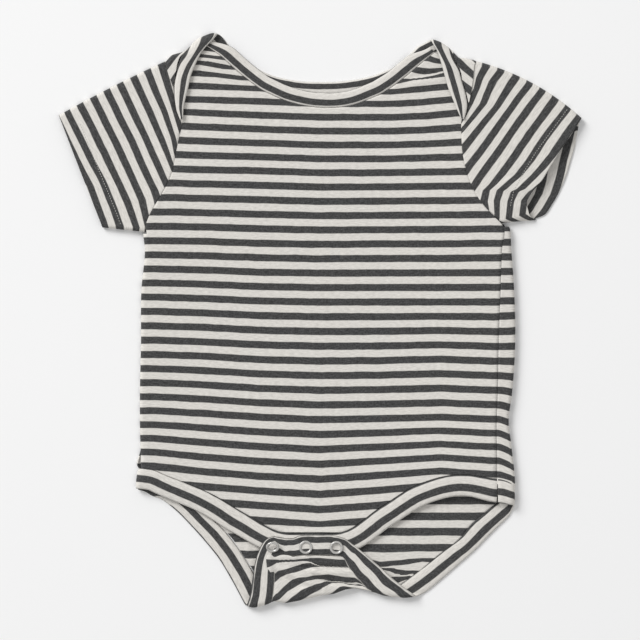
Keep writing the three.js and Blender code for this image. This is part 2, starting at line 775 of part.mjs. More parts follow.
// Sleeves: flattened tubes in rings from the armhole seam to the cuff
function sleeveRing(upper, lower) {
  const top = curve(upper, SLEEVE_COLUMNS);
  const bottom = curve(lower, SLEEVE_COLUMNS).map(([x, y]) => [x, y, BACK_MIDDLE]);
  const turnRound = (upperEnd, lowerEnd, upperBefore) => {
    const middle = mix(upperEnd, lowerEnd, 0.5);
    const dx = upperEnd[0] - upperBefore[0];
    const dy = upperEnd[1] - upperBefore[1];
    const length = Math.hypot(dx, dy);
    const radius = (upperEnd[2] - lowerEnd[2]) / 2;
    return Array.from({ length: SLEEVE_ARC_STEPS - 1 }, (_, k) => {
      const turn = (Math.PI * (k + 1)) / SLEEVE_ARC_STEPS;
      const reach = radius * Math.sin(turn);
      const side = mix(upperEnd, lowerEnd, (1 - Math.cos(turn)) / 2);
      return [side[0] + (dx / length) * reach, side[1] + (dy / length) * reach, middle[2] + radius * Math.cos(turn)];
    });
  };
  const lastTop = top[top.length - 1];
  const lastBottom = bottom[bottom.length - 1];
  return [
    ...top,
    ...turnRound(lastTop, lastBottom, top[top.length - 2]),
    ...bottom.reverse(),
    ...turnRound(top[0], bottom[bottom.length - 1], top[1]).reverse(),
  ];
}

// The upper edge of a sleeve curves out between the shoulder and the cuff
function sleeveGrid(armhole, cuffFront, cuffBack, upperBulge) {
  const seam = sleeveRing(armhole, armhole);
  const cuff = sleeveRing(cuffFront, cuffBack);
  const [dx, dy] = [cuff[0][0] - seam[0][0], cuff[0][1] - seam[0][1]];
  const side = Math.sign(dx) / Math.hypot(dx, dy);
  const nearUpperEdge = (index) => {
    const onTop = 1 - index / SLEEVE_COLUMNS;
    const onBottom = (index - SLEEVE_COLUMNS - SLEEVE_ARC_STEPS) / SLEEVE_COLUMNS;
    return Math.min(1, Math.max(onTop, onBottom, 0)) ** 2;
  };
  return Array.from({ length: SLEEVE_RINGS + 1 }, (_, k) => {
    const share = k / SLEEVE_RINGS;
    const swell = 4 * share * (1 - share) * upperBulge;
    return seam.map((point, index) => {
      const [x, y, z] = mix(point, cuff[index], share);
      const out = swell * nearUpperEdge(index);
      return [x - dy * side * out, y + dx * side * out, z];
    });
  });
}

const LEFT_SLEEVE_BULGE = 0.8;
const RIGHT_SLEEVE_BULGE = 6.4;
const leftSleeveGrid = sleeveGrid(LEFT_ARMHOLE, LEFT_CUFF, LEFT_CUFF, LEFT_SLEEVE_BULGE);
const rightSleeveGrid = sleeveGrid(RIGHT_ARMHOLE, RIGHT_CUFF_FRONT, RIGHT_CUFF_BACK, RIGHT_SLEEVE_BULGE);

// Snap rings
function snapRing([x, y], baseHeight) {
  const rows = Array.from({ length: SNAP_SEGMENTS }, (_, k) => {
    const turn = (Math.PI * 2 * k) / SNAP_SEGMENTS;
    return SNAP_PROFILE.map(([radius, height]) => [
      x + radius * Math.cos(turn),
      y + radius * Math.sin(turn),
      baseHeight + height,
    ]);
  });
  const positions = rows.flat(2);
  const faces = [];
  const count = SNAP_PROFILE.length;
  rows.forEach((_, k) => {
    const next = (k + 1) % SNAP_SEGMENTS;
    for (let p = 0; p < count; p += 1) {
      const q = (p + 1) % count;
      faces.push(k * count + p, next * count + p, next * count + q);
      faces.push(k * count + p, next * count + q, k * count + q);
    }
  });
  return closedGeometry(positions, faces);
}

const snapBase = BACK_MIDDLE + CROTCH_ROLL * 2 + BINDING_LIFT + BINDING_WALL / 2 + 0.1;
const ECRU = 0xd6d1ca;
const CHARCOAL = 0x4a4c4f;
const PEARL = 0xd9d9d6;

const PIECES = [
  ['back_panel', wallFromGrid(backGrid, CLOTH_WALL, backHasCell), ECRU],
  ['front_panel', wallFromGrid(frontGrid, CLOTH_WALL, frontHasCell), ECRU],
  ['left_sleeve', wallFromGrid(leftSleeveGrid, CLOTH_WALL, () => true, true), ECRU],
  ['right_sleeve', wallFromGrid(rightSleeveGrid, CLOTH_WALL, () => true, true), ECRU],
  ['back_neck_binding', wallFromGrid(backNeckRows, BINDING_WALL), CHARCOAL],
  ['front_neck_binding', wallFromGrid(frontNeckRows, BINDING_WALL), CHARCOAL],
  ['back_leg_binding', wallFromGrid(backLegRows, BINDING_WALL), CHARCOAL],
  ['front_leg_binding', wallFromGrid(frontLegRows, BINDING_WALL), CHARCOAL],
  ['snap_left', snapRing(SNAP_CENTRES[0], snapBase), PEARL],
  ['snap_middle', snapRing(SNAP_CENTRES[1], snapBase), PEARL],
  ['snap_right', snapRing(SNAP_CENTRES[2], snapBase), PEARL],
];

const bodysuit = new THREE.Group();
bodysuit.name = 'baby_bodysuit';
PIECES.forEach(([name, geometry, color]) => {
  const isSnap = name.startsWith('snap');
  const material = new THREE.MeshStandardMaterial({
    color,
    roughness: isSnap ? 0.3 : 0.9,
    metalness: isSnap ? 0.9 : 0,
  });
  const mesh = new THREE.Mesh(geometry, material);
  mesh.name = name;
  bodysuit.add(mesh);
});

export default bodysuit;
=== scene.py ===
# %% [markdown]
# # A striped baby bodysuit, laid flat
# The garment lies on its back on a white table. The camera looks straight down, as in the photograph.
# Tables are in millimetres: x to the right, y toward the neck, z up. The meshes are in metres.

# %% [markdown]
# ## Load the frame
# Each piece of cloth and each snap stands for one of its nodes.

# %% Load the frame
import math

import bpy
import numpy as np
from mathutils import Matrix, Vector


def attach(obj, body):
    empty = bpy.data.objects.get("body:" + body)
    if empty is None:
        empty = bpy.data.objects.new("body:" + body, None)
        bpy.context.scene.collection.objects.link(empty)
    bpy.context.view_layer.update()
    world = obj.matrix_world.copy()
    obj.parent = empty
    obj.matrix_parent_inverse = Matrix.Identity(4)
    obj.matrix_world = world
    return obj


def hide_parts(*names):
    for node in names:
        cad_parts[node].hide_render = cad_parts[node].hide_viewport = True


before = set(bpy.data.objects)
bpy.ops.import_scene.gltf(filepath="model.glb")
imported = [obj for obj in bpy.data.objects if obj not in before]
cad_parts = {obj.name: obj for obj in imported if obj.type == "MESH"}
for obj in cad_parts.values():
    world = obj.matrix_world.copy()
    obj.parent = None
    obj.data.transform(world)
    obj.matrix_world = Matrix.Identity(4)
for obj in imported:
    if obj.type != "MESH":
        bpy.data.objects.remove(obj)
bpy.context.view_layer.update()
scene = bpy.context.scene
print("frame nodes:", sorted(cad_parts))

# %% [markdown]
# ## Smooth lines and cloth grids
# A table gives a few points. A smooth line fills in between them, and rows of such lines make a sheet of
# cloth.

# %% Helpers for lines
MM = 0.001


def spline(keys, values, at):
    """Smooth curve through values, given at rising keys, read off at the places in at."""
    keys, values, at = (np.asarray(item, float) for item in (keys, values, at))
    gaps = np.diff(keys)
    shape = (-1,) + (1,) * (values.ndim - 1)
    steps = np.diff(values, axis=0) / gaps.reshape(shape)
    slopes = np.empty_like(values)
    slopes[0], slopes[-1] = steps[0], steps[-1]
    if len(keys) > 2:
        before = gaps[:-1].reshape(shape)
        after = gaps[1:].reshape(shape)
        slopes[1:-1] = (steps[:-1] * after + steps[1:] * before) / (before + after)
    index = np.clip(np.searchsorted(keys, at, side="right") - 1, 0, len(keys) - 2)
    share = ((at - keys[index]) / gaps[index]).reshape(shape)
    width = gaps[index].reshape(shape)
    start, end = values[index], values[index + 1]
    slope_in, slope_out = slopes[index] * width, slopes[index + 1] * width
    cube = 2 * (start - end) + slope_in + slope_out
    square = 3 * (end - start) - 2 * slope_in - slope_out
    return start + share * (slope_in + share * (square + share * cube))


def lengths(points):
    """Distance along a line of points to each of them."""
    steps = np.linalg.norm(np.diff(np.asarray(points, float), axis=0), axis=1)
    return np.concatenate([[0], np.cumsum(steps)])


def line(points, count):
    """A smooth line through the points, in count even steps."""
    points = np.asarray(points, float)
    along = lengths(points[:, :2])
    dense = spline(along, points, np.linspace(0, along[-1], count * 4 + 1))
    run = lengths(dense[:, :2])
    return spline(run, dense, np.linspace(0, run[-1], count + 1))


def beside(path, distance):
    """The path moved sideways, to the left of its direction."""
    path = np.asarray(path, float)
    along = np.gradient(path[:, :2], axis=0)
    along /= np.linalg.norm(along, axis=1, keepdims=True)
    moved = path.copy()
    moved[:, 0] -= along[:, 1] * distance
    moved[:, 1] += along[:, 0] * distance
    return moved


def smoothstep(value, low, high):
    share = np.clip((value - low) / (high - low), 0, 1)
    return share * share * (3 - 2 * share)


def row_across(points, corners, counts):
    """One row of cloth in three runs, with its corners at the sides of the neck."""
    points = np.asarray(points, float)
    left, right = corners
    runs = [points[: left + 1], points[left : right + 1], points[right:]]
    lines = [line(run, count) for run, count in zip(runs, counts)]
    return np.vstack([lines[0], lines[1][1:], lines[2][1:]])


def fill_rows(rows, step):
    """Smooth rows between the given rows, about step apart in the middle of the cloth."""
    rows = np.asarray(rows, float)
    gap = np.linalg.norm(np.diff(rows[..., :2], axis=0), axis=2).max(axis=1)
    keys = np.concatenate([[0], np.cumsum(gap)])
    counts = np.maximum(1, np.round(gap / step)).astype(int)
    at = np.concatenate([np.linspace(a, b, n, endpoint=False) for a, b, n in zip(keys, keys[1:], counts)])
    return spline(keys, rows, np.append(at, keys[-1])), np.concatenate([[0], np.cumsum(counts)])


print("line helpers: spline, line, beside, fill_rows")

# %% [markdown]
# ## From a grid of points to cloth
# A grid of points becomes a mesh of four-sided faces. Each corner also keeps its place on the flat cut,
# as a map that the stripes are drawn from. Cloth gets its thickness from a modifier, so the grid stays
# simple to shape.

# %% Helpers for meshes
def cloth_mesh(name, grid, cut, present=None, ring=False, wall=0.0):
    """A sheet of cloth from a grid of points in mm. cut has each point's place on the flat cut, in metres.

    A ring's cut has one column more, where it meets its first column again.
    """
    rows, columns = grid.shape[:2]
    index = np.arange(rows * columns).reshape(rows, columns)
    if ring:
        index = np.hstack([index, index[:, :1]])
    corners = np.stack([index[:-1, :-1], index[:-1, 1:], index[1:, 1:], index[1:, :-1]], axis=-1)
    if present is not None:
        corners = corners[present]
    faces = corners.reshape(-1, 4)
    used, place = np.unique(faces, return_inverse=True)
    points = (grid.reshape(-1, grid.shape[-1])[:, :3] * MM)[used]
    mesh = bpy.data.meshes.new(name)
    mesh.from_pydata(points.tolist(), [], place.reshape(-1, 4).tolist())
    layer = mesh.uv_layers.new(name="Cut")
    blocks = np.stack([cut[:-1, :-1], cut[:-1, 1:], cut[1:, 1:], cut[1:, :-1]], axis=2)
    if present is not None:
        blocks = blocks[present]
    layer.data.foreach_set("uv", blocks.reshape(-1).astype(np.float32))
    mesh.shade_smooth()
    piece = bpy.data.objects.new(name, mesh)
    scene.collection.objects.link(piece)
    if wall:
        shell = piece.modifiers.new("Cloth wall", "SOLIDIFY")
        shell.thickness = wall * MM
        shell.offset = 0
        shell.use_even_offset = False
    return piece


def count_triangles(piece):
    shown = piece.evaluated_get(bpy.context.evaluated_depsgraph_get())
    mesh = shown.to_mesh()
    total = len(mesh.loop_triangles) or sum(len(face.vertices) - 2 for face in mesh.polygons)
    shown.to_mesh_clear()
    return total


def finish_piece(piece, node, material):
    """Gives a piece its material and its place in the frame."""
    piece.data.materials.append(material)
    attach(piece, "root")
    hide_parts(node)
    print(f"{piece.name}: {count_triangles(piece)} triangles")


print("mesh helpers: cloth_mesh, count_triangles, finish_piece")

# %% [markdown]
# ## Where the stripes run
# The jersey is knitted in dark and light stripes, and they show how the cloth lies. Each table row below
# follows one dark stripe across the laid cloth. A point's count of stripes, times their spacing, is its
# place on the cut.

# %% Stripes across the cloth
STRIPE_PITCH = 0.0094


def stripe_count(points, lines, across):
    """How many stripes from stripe 0 each point lies. across is 0 where the lines run along x, 1 along y."""
    place, height = points[..., across], points[..., 1 - across]
    counts = sorted(lines)
    levels = []
    for count in counts:
        keys = np.asarray(sorted([point[across], point[1 - across]] for point in lines[count]), float)
        level = np.interp(place, keys[:, 0], keys[:, 1])
        if across == 1:
            first = (keys[1, 1] - keys[0, 1]) / (keys[1, 0] - keys[0, 0])
            last = (keys[-1, 1] - keys[-2, 1]) / (keys[-1, 0] - keys[-2, 0])
            level += np.minimum(place - keys[0, 0], 0) * first + np.maximum(place - keys[-1, 0], 0) * last
        levels.append(level)
    levels = np.array(levels)
    if levels[0].mean() > levels[-1].mean():
        levels, height = -levels, -height
    levels = np.maximum.accumulate(levels, axis=0)
    result = np.full(place.shape, float(counts[0]))
    below = height < levels[0]
    spacing = np.maximum(levels[1] - levels[0], 1.0)
    result[below] = (counts[0] + (height - levels[0]) / spacing * (counts[1] - counts[0]))[below]
    for low, high, n, m in zip(levels, levels[1:], counts, counts[1:]):
        inside = (height >= low) & (height < high)
        result[inside] = (n + (height - low) / np.maximum(high - low, 0.1) * (m - n))[inside]
    above = height >= levels[-1]
    spacing = np.maximum(levels[-1] - levels[-2], 1.0)
    result[above] = (counts[-1] + (height - levels[-1]) / spacing * (counts[-1] - counts[-2]))[above]
    return result


print("stripes are", STRIPE_PITCH * 1000, "mm apart")

# %% [markdown]
# ## Creases
# A soft crease is a low ridge or a shallow valley along a line. Each table row gives its two ends, half
# its width and its height. Real cloth laid by hand has only a few of them on the body and many where it
# bunches up.

# %% Creases
def creases(points, table):
    """Height of all the creases in the table at each point, in mm."""
    height = np.zeros(points.shape[:-1])
    for x1, y1, x2, y2, half_width, rise in table:
        run = np.array([x2 - x1, y2 - y1], float)
        length = np.hypot(*run)
        away = points[..., :2] - np.array([x1, y1])
        along = (away @ run) / length
        across = (away[..., 0] * run[1] - away[..., 1] * run[0]) / length
        fade = smoothstep(along, -0.15 * length, 0.25 * length)
        fade = fade * smoothstep(-along, -1.15 * length, -0.75 * length)
        height += rise * fade * np.exp(-((across / half_width) ** 2))
    return height


print("creases fade out at both of their ends")

# %% [markdown]
# ## The front of the body
# The front lies on the back, a little higher at its sides, where the cloth turns over. It is one grid of
# rows from the leg edge to the yoke, with two straps beside the neck. The straps end out of sight under
# the shoulder flaps.

# %% Front: tables
FRONT_LEG_ROW = [
    (-115.1, -97.2, 4.9), (-109.2, -98.1, 4.8), (-101.5, -101.4, 4.55), (-92.1, -105.1, 4.3),
    (-71, -113.9, 3.7), (-49.2, -126.7, 3.1), (-24.1, -139.3, 2.8), (-5, -139.6, 2.7), (14.2, -139.3, 2.8),
    (39.9, -122.8, 3.1), (65, -107.6, 3.7), (90.8, -101, 4.4), (116.8, -104, 4.9),
]
FRONT_HIP_ROW = [
    (-115.4, -82.5, 4.9), (-93.4, -85.8, 4.2), (-69, -91.1, 3.4), (-45.9, -98.3, 2.8), (-24.1, -106.3, 2.5),
    (-3.6, -108.9, 2.4), (16.8, -106.3, 2.5), (41.2, -95.7, 2.8), (65, -87.1, 3.4), (90.8, -82.5, 4.2),
    (116.7, -83.8, 4.9),
]
FRONT_BODY_ROWS = [
    (-115.8, -65.3, 116.5, -66, 4.9, 2.4), (-115.8, -46.9, 117.2, -46.9, 4.9, 2.4),
    (-115.1, -15.2, 117.8, -15.2, 4.9, 2.4), (-114.8, 20.5, 119.1, 20.5, 4.9, 2.4),
    (-112.5, 46.9, 120.1, 46.9, 4.9, 2.4), (-113.7, 57.4, 121.1, 62, 4.9, 2.5),
    (-114.6, 65.3, 114.7, 69.1, 4.7, 2.5), (-108.7, 75.9, 108.2, 76.2, 4.6, 2.5),
    (-103.4, 85.1, 101.6, 86.3, 4.3, 2.6), (-97.4, 98.3, 97.4, 97.7, 3.9, 2.7),
    (-95.8, 107.6, 94.9, 110.2, 3.5, 2.8), (-93.9, 117.9, 94.3, 122.8, 3.2, 2.8),
]
FRONT_YOKE_ROW = [
    (-91, 130.5, 2.9), (-74.9, 137.9, 2.8), (-56.4, 145.5, 2.8), (-38, 152, 2.8), (-20.1, 144.3, 2.8),
    (0.3, 140.6, 2.8), (20.1, 141.8, 2.8), (39.3, 148.8, 2.8), (57.8, 143.2, 2.8), (76.2, 137.9, 2.8),
    (94.7, 132.7, 2.9),
]
FRONT_LEFT_STRAP = [
    ((-93.1, 137.9, 2.75), (-48.2, 159.7, 2.75)),
    ((-95, 147.2, 2.7), (-56.4, 166.5, 2.7)),
    ((-96.2, 156.4, 2.7), (-65, 174.5, 2.7)),
    ((-98.3, 165.3, 2.7), (-75.2, 181.5, 2.7)),
]
FRONT_RIGHT_STRAP = [
    ((49.2, 155.1, 2.75), (96.7, 139.9, 2.75)),
    ((59.1, 163, 2.7), (98.7, 149.2, 2.7)),
    ((68, 170.5, 2.7), (99.7, 157.7, 2.7)),
    ((75.9, 177, 2.7), (100, 165.3, 2.7)),
]
FRONT_STRIPES = {
    -7: [(-78.9, 188.1), (-68.3, 186.1), (71.6, 190.1), (79.5, 187.4)],
    -6: [(-78.9, 179.8), (-68.3, 178.2), (71.6, 181.5), (79.5, 178.9)],
    -5: [(-78.9, 174.7), (-64.4, 173.1), (0.3, 172.3), (71.6, 173.6), (75.2, 171.7), (78.9, 170.7)],
    -4.25: [
        (-78.9, 171.7), (-72.5, 171.3), (-63.5, 169.5), (-59.1, 168.2), (64.2, 167.3), (67.4, 167),
        (72.5, 166.4), (80.3, 167),
    ],
    -3.75: [
        (-78.9, 168.8), (-72.5, 167.7), (-63.5, 165.9), (-56.8, 165.7), (60.4, 164.3), (65, 162.9),
        (69.6, 162.4), (76.6, 163.3), (81.7, 164.7),
    ],
    -3.25: [
        (-78.9, 165.1), (-68.3, 163.7), (-50.5, 161.4), (0.3, 159.7), (55.8, 159.7), (60.4, 159.4),
        (67.4, 160.2), (74.2, 161.5), (82.4, 163.8),
    ],
    -3: [
        (-81.5, 163.2), (-69.6, 162.5), (-50, 160.1), (0.3, 158.4), (53.5, 157.7), (60.4, 158.9),
        (67.4, 159.8), (74.2, 160.7), (82.4, 162.4),
    ],
    -2.75: [
        (-78.9, 161.2), (-68.3, 160.5), (-50.5, 158.5), (0.3, 156.4), (51.6, 156.2), (60.4, 158.5),
        (67.4, 159.3), (74.2, 159.9), (82.6, 161),
    ],
    -2: [(-84.2, 155.1), (-38, 153.3), (0.3, 151.1), (46.5, 151.1), (65, 152.7), (84.9, 154.6)],
    -1: [(-88.1, 146.1), (-38, 144.7), (0.3, 143.2), (46.5, 143.2), (65, 143.9), (87.3, 146.2)],
    0: [
        (-89.9, 137.9), (-78.9, 137.3), (-38, 135.5), (0.3, 134.3), (46.5, 134.2), (69.6, 135.1),
        (91, 137.1),
    ],
    4: [(-98.7, 100.3), (-78.9, 99.7), (-39.3, 99), (0.3, 97.7), (39.9, 97.7), (79.5, 98.3)],
    9: [
        (-108.6, 52.8), (-78.9, 52.5), (-39.3, 51.2), (0.3, 50.5), (39.9, 50.8), (79.5, 50.8),
        (112.5, 51.2),
    ],
    13: [(-108.6, 15.8), (-78.9, 14.9), (-39.3, 13.2), (0.3, 12.5), (79.5, 12.5), (112.5, 12.5)],
    17: [
        (-108.6, -22.1), (-78.9, -23.1), (-39.3, -25.4), (0.3, -26.4), (39.9, -26.1), (79.5, -25.1),
        (112.5, -26.4),
    ],
    21: [
        (-108.6, -59.1), (-78.9, -60.7), (-39.3, -63.4), (0.3, -65), (39.9, -64.4), (79.5, -63.4),
        (112.5, -64.7),
    ],
    25: [
        (-108.6, -95.4), (-78.9, -99), (-39.3, -102.3), (0.3, -104.3), (39.9, -101.6), (79.5, -98.7),
        (112.5, -101),
    ],
    28: [(-78.9, -128.4), (-39.3, -131.3), (0.3, -134.3), (39.9, -131.3), (79.5, -126.7)],
    29: [(-39.3, -141.9), (0.3, -140.9), (39.9, -141.9)],
}
FRONT_CREASES = [
    (-78.9, 173.6, -61.7, 170.9, 3, 0.8), (55.8, 159.7, 82.8, 164.3, 2.5, -0.9),
    (58.4, 156.4, 84.2, 160.4, 3, 0.7), (-24.1, -141.2, 16.8, -139.9, 3, 0.9),
]
print("front stripes that are measured:", len(FRONT_STRIPES))

# %% [markdown]
# ## One sheet for the front
# Real jersey hangs in one piece from strap to leg, so the front is one grid. Cells beside the straps are
# left out. A few more columns carry its left side round the fold, where the cloth turns down toward the
# table.

# %% Front: one sheet of cloth
STRAP_COLUMNS = 34
NECK_COLUMNS = 84
ROLL_COLUMNS = 8
BODY_STEP = 1.7
COLUMN_SHARE = [0, 0.096, 0.19, 0.287, 0.39, 0.49, 0.6, 0.7, 0.8, 0.9, 1]
COUNTS = (STRAP_COLUMNS, NECK_COLUMNS, STRAP_COLUMNS)
BODY_COLUMNS = 2 * STRAP_COLUMNS + NECK_COLUMNS
BACK_MIDDLE = 0.5
SIDE_ROLL = 2.2
SHOULDER_ROLL = 2.2
CROTCH_ROLL = 2.05
CLOTH_WALL = 0.8
SIDE_RISE_POWER = 2.4
LEFT_ROLL_DEGREES = 100


def row_between(start, end):
    share = np.array(COLUMN_SHARE)[:, None]
    return row_across(np.asarray(start) * (1 - share) + np.asarray(end) * share, (3, 7), COUNTS)


def front_row(left_x, left_y, right_x, right_y, side_height, middle_height):
    row = row_between([left_x, left_y, 0], [right_x, right_y, 1])
    from_middle = np.abs(row[:, 2] * 2 - 1) ** SIDE_RISE_POWER
    row[:, 2] = middle_height + (side_height - middle_height) * from_middle
    return row


def strap_rows(yoke_ends, table):
    """Rows of a front strap, from the yoke up, as pairs of ends."""
    pairs = [[list(end) for end in yoke_ends]] + table
    rows, _ = fill_rows(pairs, BODY_STEP)
    return rows[1:]


def across(pair, count):
    share = np.linspace(0, 1, count + 1)[:, None]
    return pair[0] * (1 - share) + pair[1] * share


front_keys = [row_across(FRONT_LEG_ROW, (3, 7), COUNTS), row_across(FRONT_HIP_ROW, (3, 7), COUNTS)]
front_keys += [front_row(*values) for values in FRONT_BODY_ROWS]
front_keys += [row_across(FRONT_YOKE_ROW, (3, 7), COUNTS)]
front_body, front_starts = fill_rows(front_keys, BODY_STEP)
yoke = front_body[-1]
left_strap = strap_rows((yoke[0], yoke[STRAP_COLUMNS]), FRONT_LEFT_STRAP)
right_strap = strap_rows((yoke[-1 - STRAP_COLUMNS], yoke[-1]), FRONT_RIGHT_STRAP)
strap_count = min(len(left_strap), len(right_strap))
left_strap = left_strap[np.linspace(0, len(left_strap) - 1, strap_count).round().astype(int)]
right_strap = right_strap[np.linspace(0, len(right_strap) - 1, strap_count).round().astype(int)]
straps = np.repeat(yoke[None], strap_count, axis=0)
for k in range(strap_count):
    straps[k, : STRAP_COLUMNS + 1] = across(left_strap[k], STRAP_COLUMNS)
    straps[k, -1 - STRAP_COLUMNS :] = across(right_strap[k], STRAP_COLUMNS)
front_grid = np.concatenate([front_body, straps])
front_grid[..., 2] += creases(front_grid, FRONT_CREASES)


def front_roll(rows):
    """Columns that carry the front round the left side, nearly to the table."""
    turn = np.radians(LEFT_ROLL_DEGREES) * (1 - np.arange(ROLL_COLUMNS) / ROLL_COLUMNS)
    edge = rows[:, :1]
    x = edge[..., 0] - SIDE_ROLL * np.sin(turn)
    z = edge[..., 2] - SIDE_ROLL * (1 - np.cos(turn))
    return np.stack([x, np.broadcast_to(edge[..., 1], x.shape), z], axis=-1)


rolled = front_roll(front_grid)
front_points = np.concatenate([rolled, front_grid], axis=1)
UNDERARM_ROW = front_starts[7]
YOKE_ROW = len(front_body) - 1
front_present = np.ones((len(front_points) - 1, front_points.shape[1] - 1), bool)
front_present[UNDERARM_ROW:, :ROLL_COLUMNS] = False
front_present[YOKE_ROW:, ROLL_COLUMNS + STRAP_COLUMNS : ROLL_COLUMNS + STRAP_COLUMNS + NECK_COLUMNS] = False
front_count = stripe_count(front_points[..., :2], FRONT_STRIPES, 0)
front_cut = np.stack([front_points[..., 0] * MM, front_count * STRIPE_PITCH], axis=-1)
front = cloth_mesh("front_cloth", front_points, front_cut, front_present, wall=CLOTH_WALL)
print("front grid:", front_points.shape[:2])

# %% [markdown]
# ## The back of the body
# The back lies on the table. Its right edge turns over and shows beside the front as far as the side
# seam. Its straps turn over at the shoulders and end as small flaps. Its lowest part is folded up over
# the front as the crotch flap. A fold is easiest to model by bending a flat cut, so that the stripes stay
# true to the cloth.

# %% Back: tables
BACK_BODY_ROWS = [
    (-38.6, -176.2, 50.5, -176.2), (-43.9, -164.3, 66.7, -164.3), (-50.5, -154.4, 78.9, -154.1),
    (-57.8, -143.2, 92.4, -143.6), (-67, -133.7, 100.3, -134), (-76.2, -125.4, 108.2, -127.1),
    (-85.1, -116.5, 115.8, -120.5), (-97.4, -107.6, 120.5, -116.8), (-107.2, -102, 123.4, -114.2),
    (-115.1, -98.2, 125.7, -111.9), (-115.4, -82.5, 124.1, -83.8), (-115.8, -65.3, 122.1, -66),
    (-115.8, -46.9, 124.4, -46.9), (-115.1, -15.2, 126.4, -15.2), (-114.8, 20.5, 125.7, 20.5),
    (-112.5, 46.9, 123.8, 46.9), (-112.9, 57.4, 122.4, 62), (-108.7, 75.9, 108.2, 76.2),
    (-103.4, 85.1, 101.6, 86.3), (-97.4, 98.3, 97.4, 97.7), (-95.8, 107.6, 94.9, 110.2),
    (-93.9, 117.9, 94.3, 122.8),
]
BACK_YOKE_ROW = [
    (-91, 130.5), (-77.5, 140.6), (-64.4, 150.8), (-49.8, 160.2), (-36.6, 153.5), (-19.5, 149.2),
    (0.3, 147.8), (20.1, 148.8), (36, 151.8), (55.4, 159.4), (69, 150.5), (82.2, 141.2), (94.7, 132.7),
]
CROTCH_FOLD = [
    (-52.5, -187.1), (-42.8, -188.8), (-35.3, -186.8), (-30, -184.8), (-22.4, -186.1), (-11.6, -184.1),
    (0.3, -181.2), (9.6, -179.9), (16.8, -177.2), (23.4, -176.2), (32.7, -178.1), (41.9, -180.8),
    (55.8, -182.2), (66.3, -181.5),
]
FLAP_ROWS = [
    (1, -33.7, 16.2), (0.87, -34.6, 17.8), (0.78, -35.8, 18.8), (0.6, -33, 21.4), (0.43, -30, 25.4),
    (0.24, -30.2, 29), (0.12, -31, 31.1),
]
FOLD_ROW = [(1, -31.7, 34.6), (0, -36.6, 49.2)]
FLAP_TOP = [
    (-34, -151.5), (-27.4, -151.8), (-22.1, -153.8), (-17.5, -155.2), (-8.9, -154.4), (16.8, -155.1),
]
LEFT_BEND = [(-118.6, -131.3), (-118.6, -110.9), (-116.8, -97), (-115.4, -82.5)]
RIGHT_BEND = [(125.7, -137.9), (125.7, -104.3), (124.1, -83.8)]
FLAP_CREASES = [
    (-33.3, -152.5, -32, -166.3, 3.4, 1.3), (-15.5, -161.7, 20.1, -162.4, 1.5, -1.5),
    (-12.9, -165.3, 21.4, -165.7, 2.6, 1.2), (0.3, -171.3, 36, -175.6, 1.4, -1.5),
    (3.6, -174.2, 34.6, -178.9, 2.2, 1), (-27.4, -162.4, -2.3, -174.9, 1.6, 1),
    (-30, -165.7, -12.9, -174.9, 1.5, -0.8), (-10.9, -159.1, 6.9, -169, 1.5, 0.9),
    (-12.9, -161.7, 1.7, -170.9, 1.4, -0.8), (-20.8, -181.5, -5, -176.2, 2, 0.9),
    (-29.4, -155.8, -12.9, -155.4, 1.6, 0.8),
]
SEAM_FOOT = -104
LEG_REGION_TOP = -78.5
LEFT_FOLD_CORNER = (-99.9, 168.5)
LEFT_FOLD_ALONG = [0.871, 0.492]
RIGHT_FOLD_CORNER = (100.7, 169.2)
RIGHT_FOLD_ALONG = [-0.885, 0.465]
LEFT_UNDER = [
    (-31.4, -11.6, 39.6, 50.1), (-22, -7.5, 34, 45), (-12, -3.6, 31.6, 42), (-5, -2.3, 29.5, 41),
    (0, -0.8, 26.5, 40.4),
]
LEFT_OVER = [
    (0, -0.6, 10.6, 37.5), (1.55, -1.3, 8.7, 34.2), (2.1, -1.5, 8.1, 31.6), (2.6, -1.8, 7.4, 28.3),
    (3.75, -2.2, 6.1, 24.9), (4.95, -2.5, 4.9, 21.9), (6.6, -2.8, 3.3, 19), (9.5, -3.2, 0.9, 15),
    (13.2, -3.8, -2.4, 10.2), (21.1, -6.8, -6.8, 3.1), (28.5, -9.7, -9.7, -4), (36, -10.8, -10.8, -8.8),
]
RIGHT_UNDER = [
    (-28.6, -10.7, 35.6, 46.1), (-18, -8.2, 31.4, 41.4), (-12, -6, 29.4, 39), (-5.7, -3.2, 27, 37.3),
    (0, -1.6, 22.4, 33.8),
]
RIGHT_OVER = [
    (0, -1.4, 13.9, 30.3), (2.7, -2.4, 10.6, 25.4), (8.7, -5, 4.7, 18.8), (12.1, -6.2, 2.2, 15.6),
    (17.3, -8, -3.2, 10.9), (22, -9.4, -7.2, 6.3), (25.5, -10.2, -9.8, 2), (30, -11.2, -11.2, -3.3),
    (35.5, -12.2, -12.2, -10.2),
]
print("rows measured on the back:", len(BACK_BODY_ROWS), "creases on the flap:", len(FLAP_CREASES))

# %% [markdown]
# ## Bending a flat cut
# A fold is a half circle of cloth with flat cloth on both sides. A point beyond the fold line goes round
# it and comes back above. This keeps every distance along the cloth, so nothing stretches and the stripes
# stay even.

# %% Back: folding a flat cut
def folded(foot, outward, radius, distance, lift=0.0):
    """Where a point lands that is past a fold line by distance. lift is toward the inside of the garment."""
    foot, outward, distance = np.asarray(foot, float), np.asarray(outward, float), np.asarray(distance, float)
    lift = np.broadcast_to(lift, distance.shape)
    arc = math.pi * radius
    turn = np.clip(distance / radius, 0, math.pi)
    inner = radius - lift
    reach = np.where(distance > arc, arc - distance, np.where(distance > 0, inner * np.sin(turn), distance))
    height = BACK_MIDDLE + radius - inner * np.cos(turn)
    x = foot[..., 0] + outward[0] * reach
    y = foot[..., 1] + outward[1] * reach
    return np.stack([x, y, height], axis=-1)


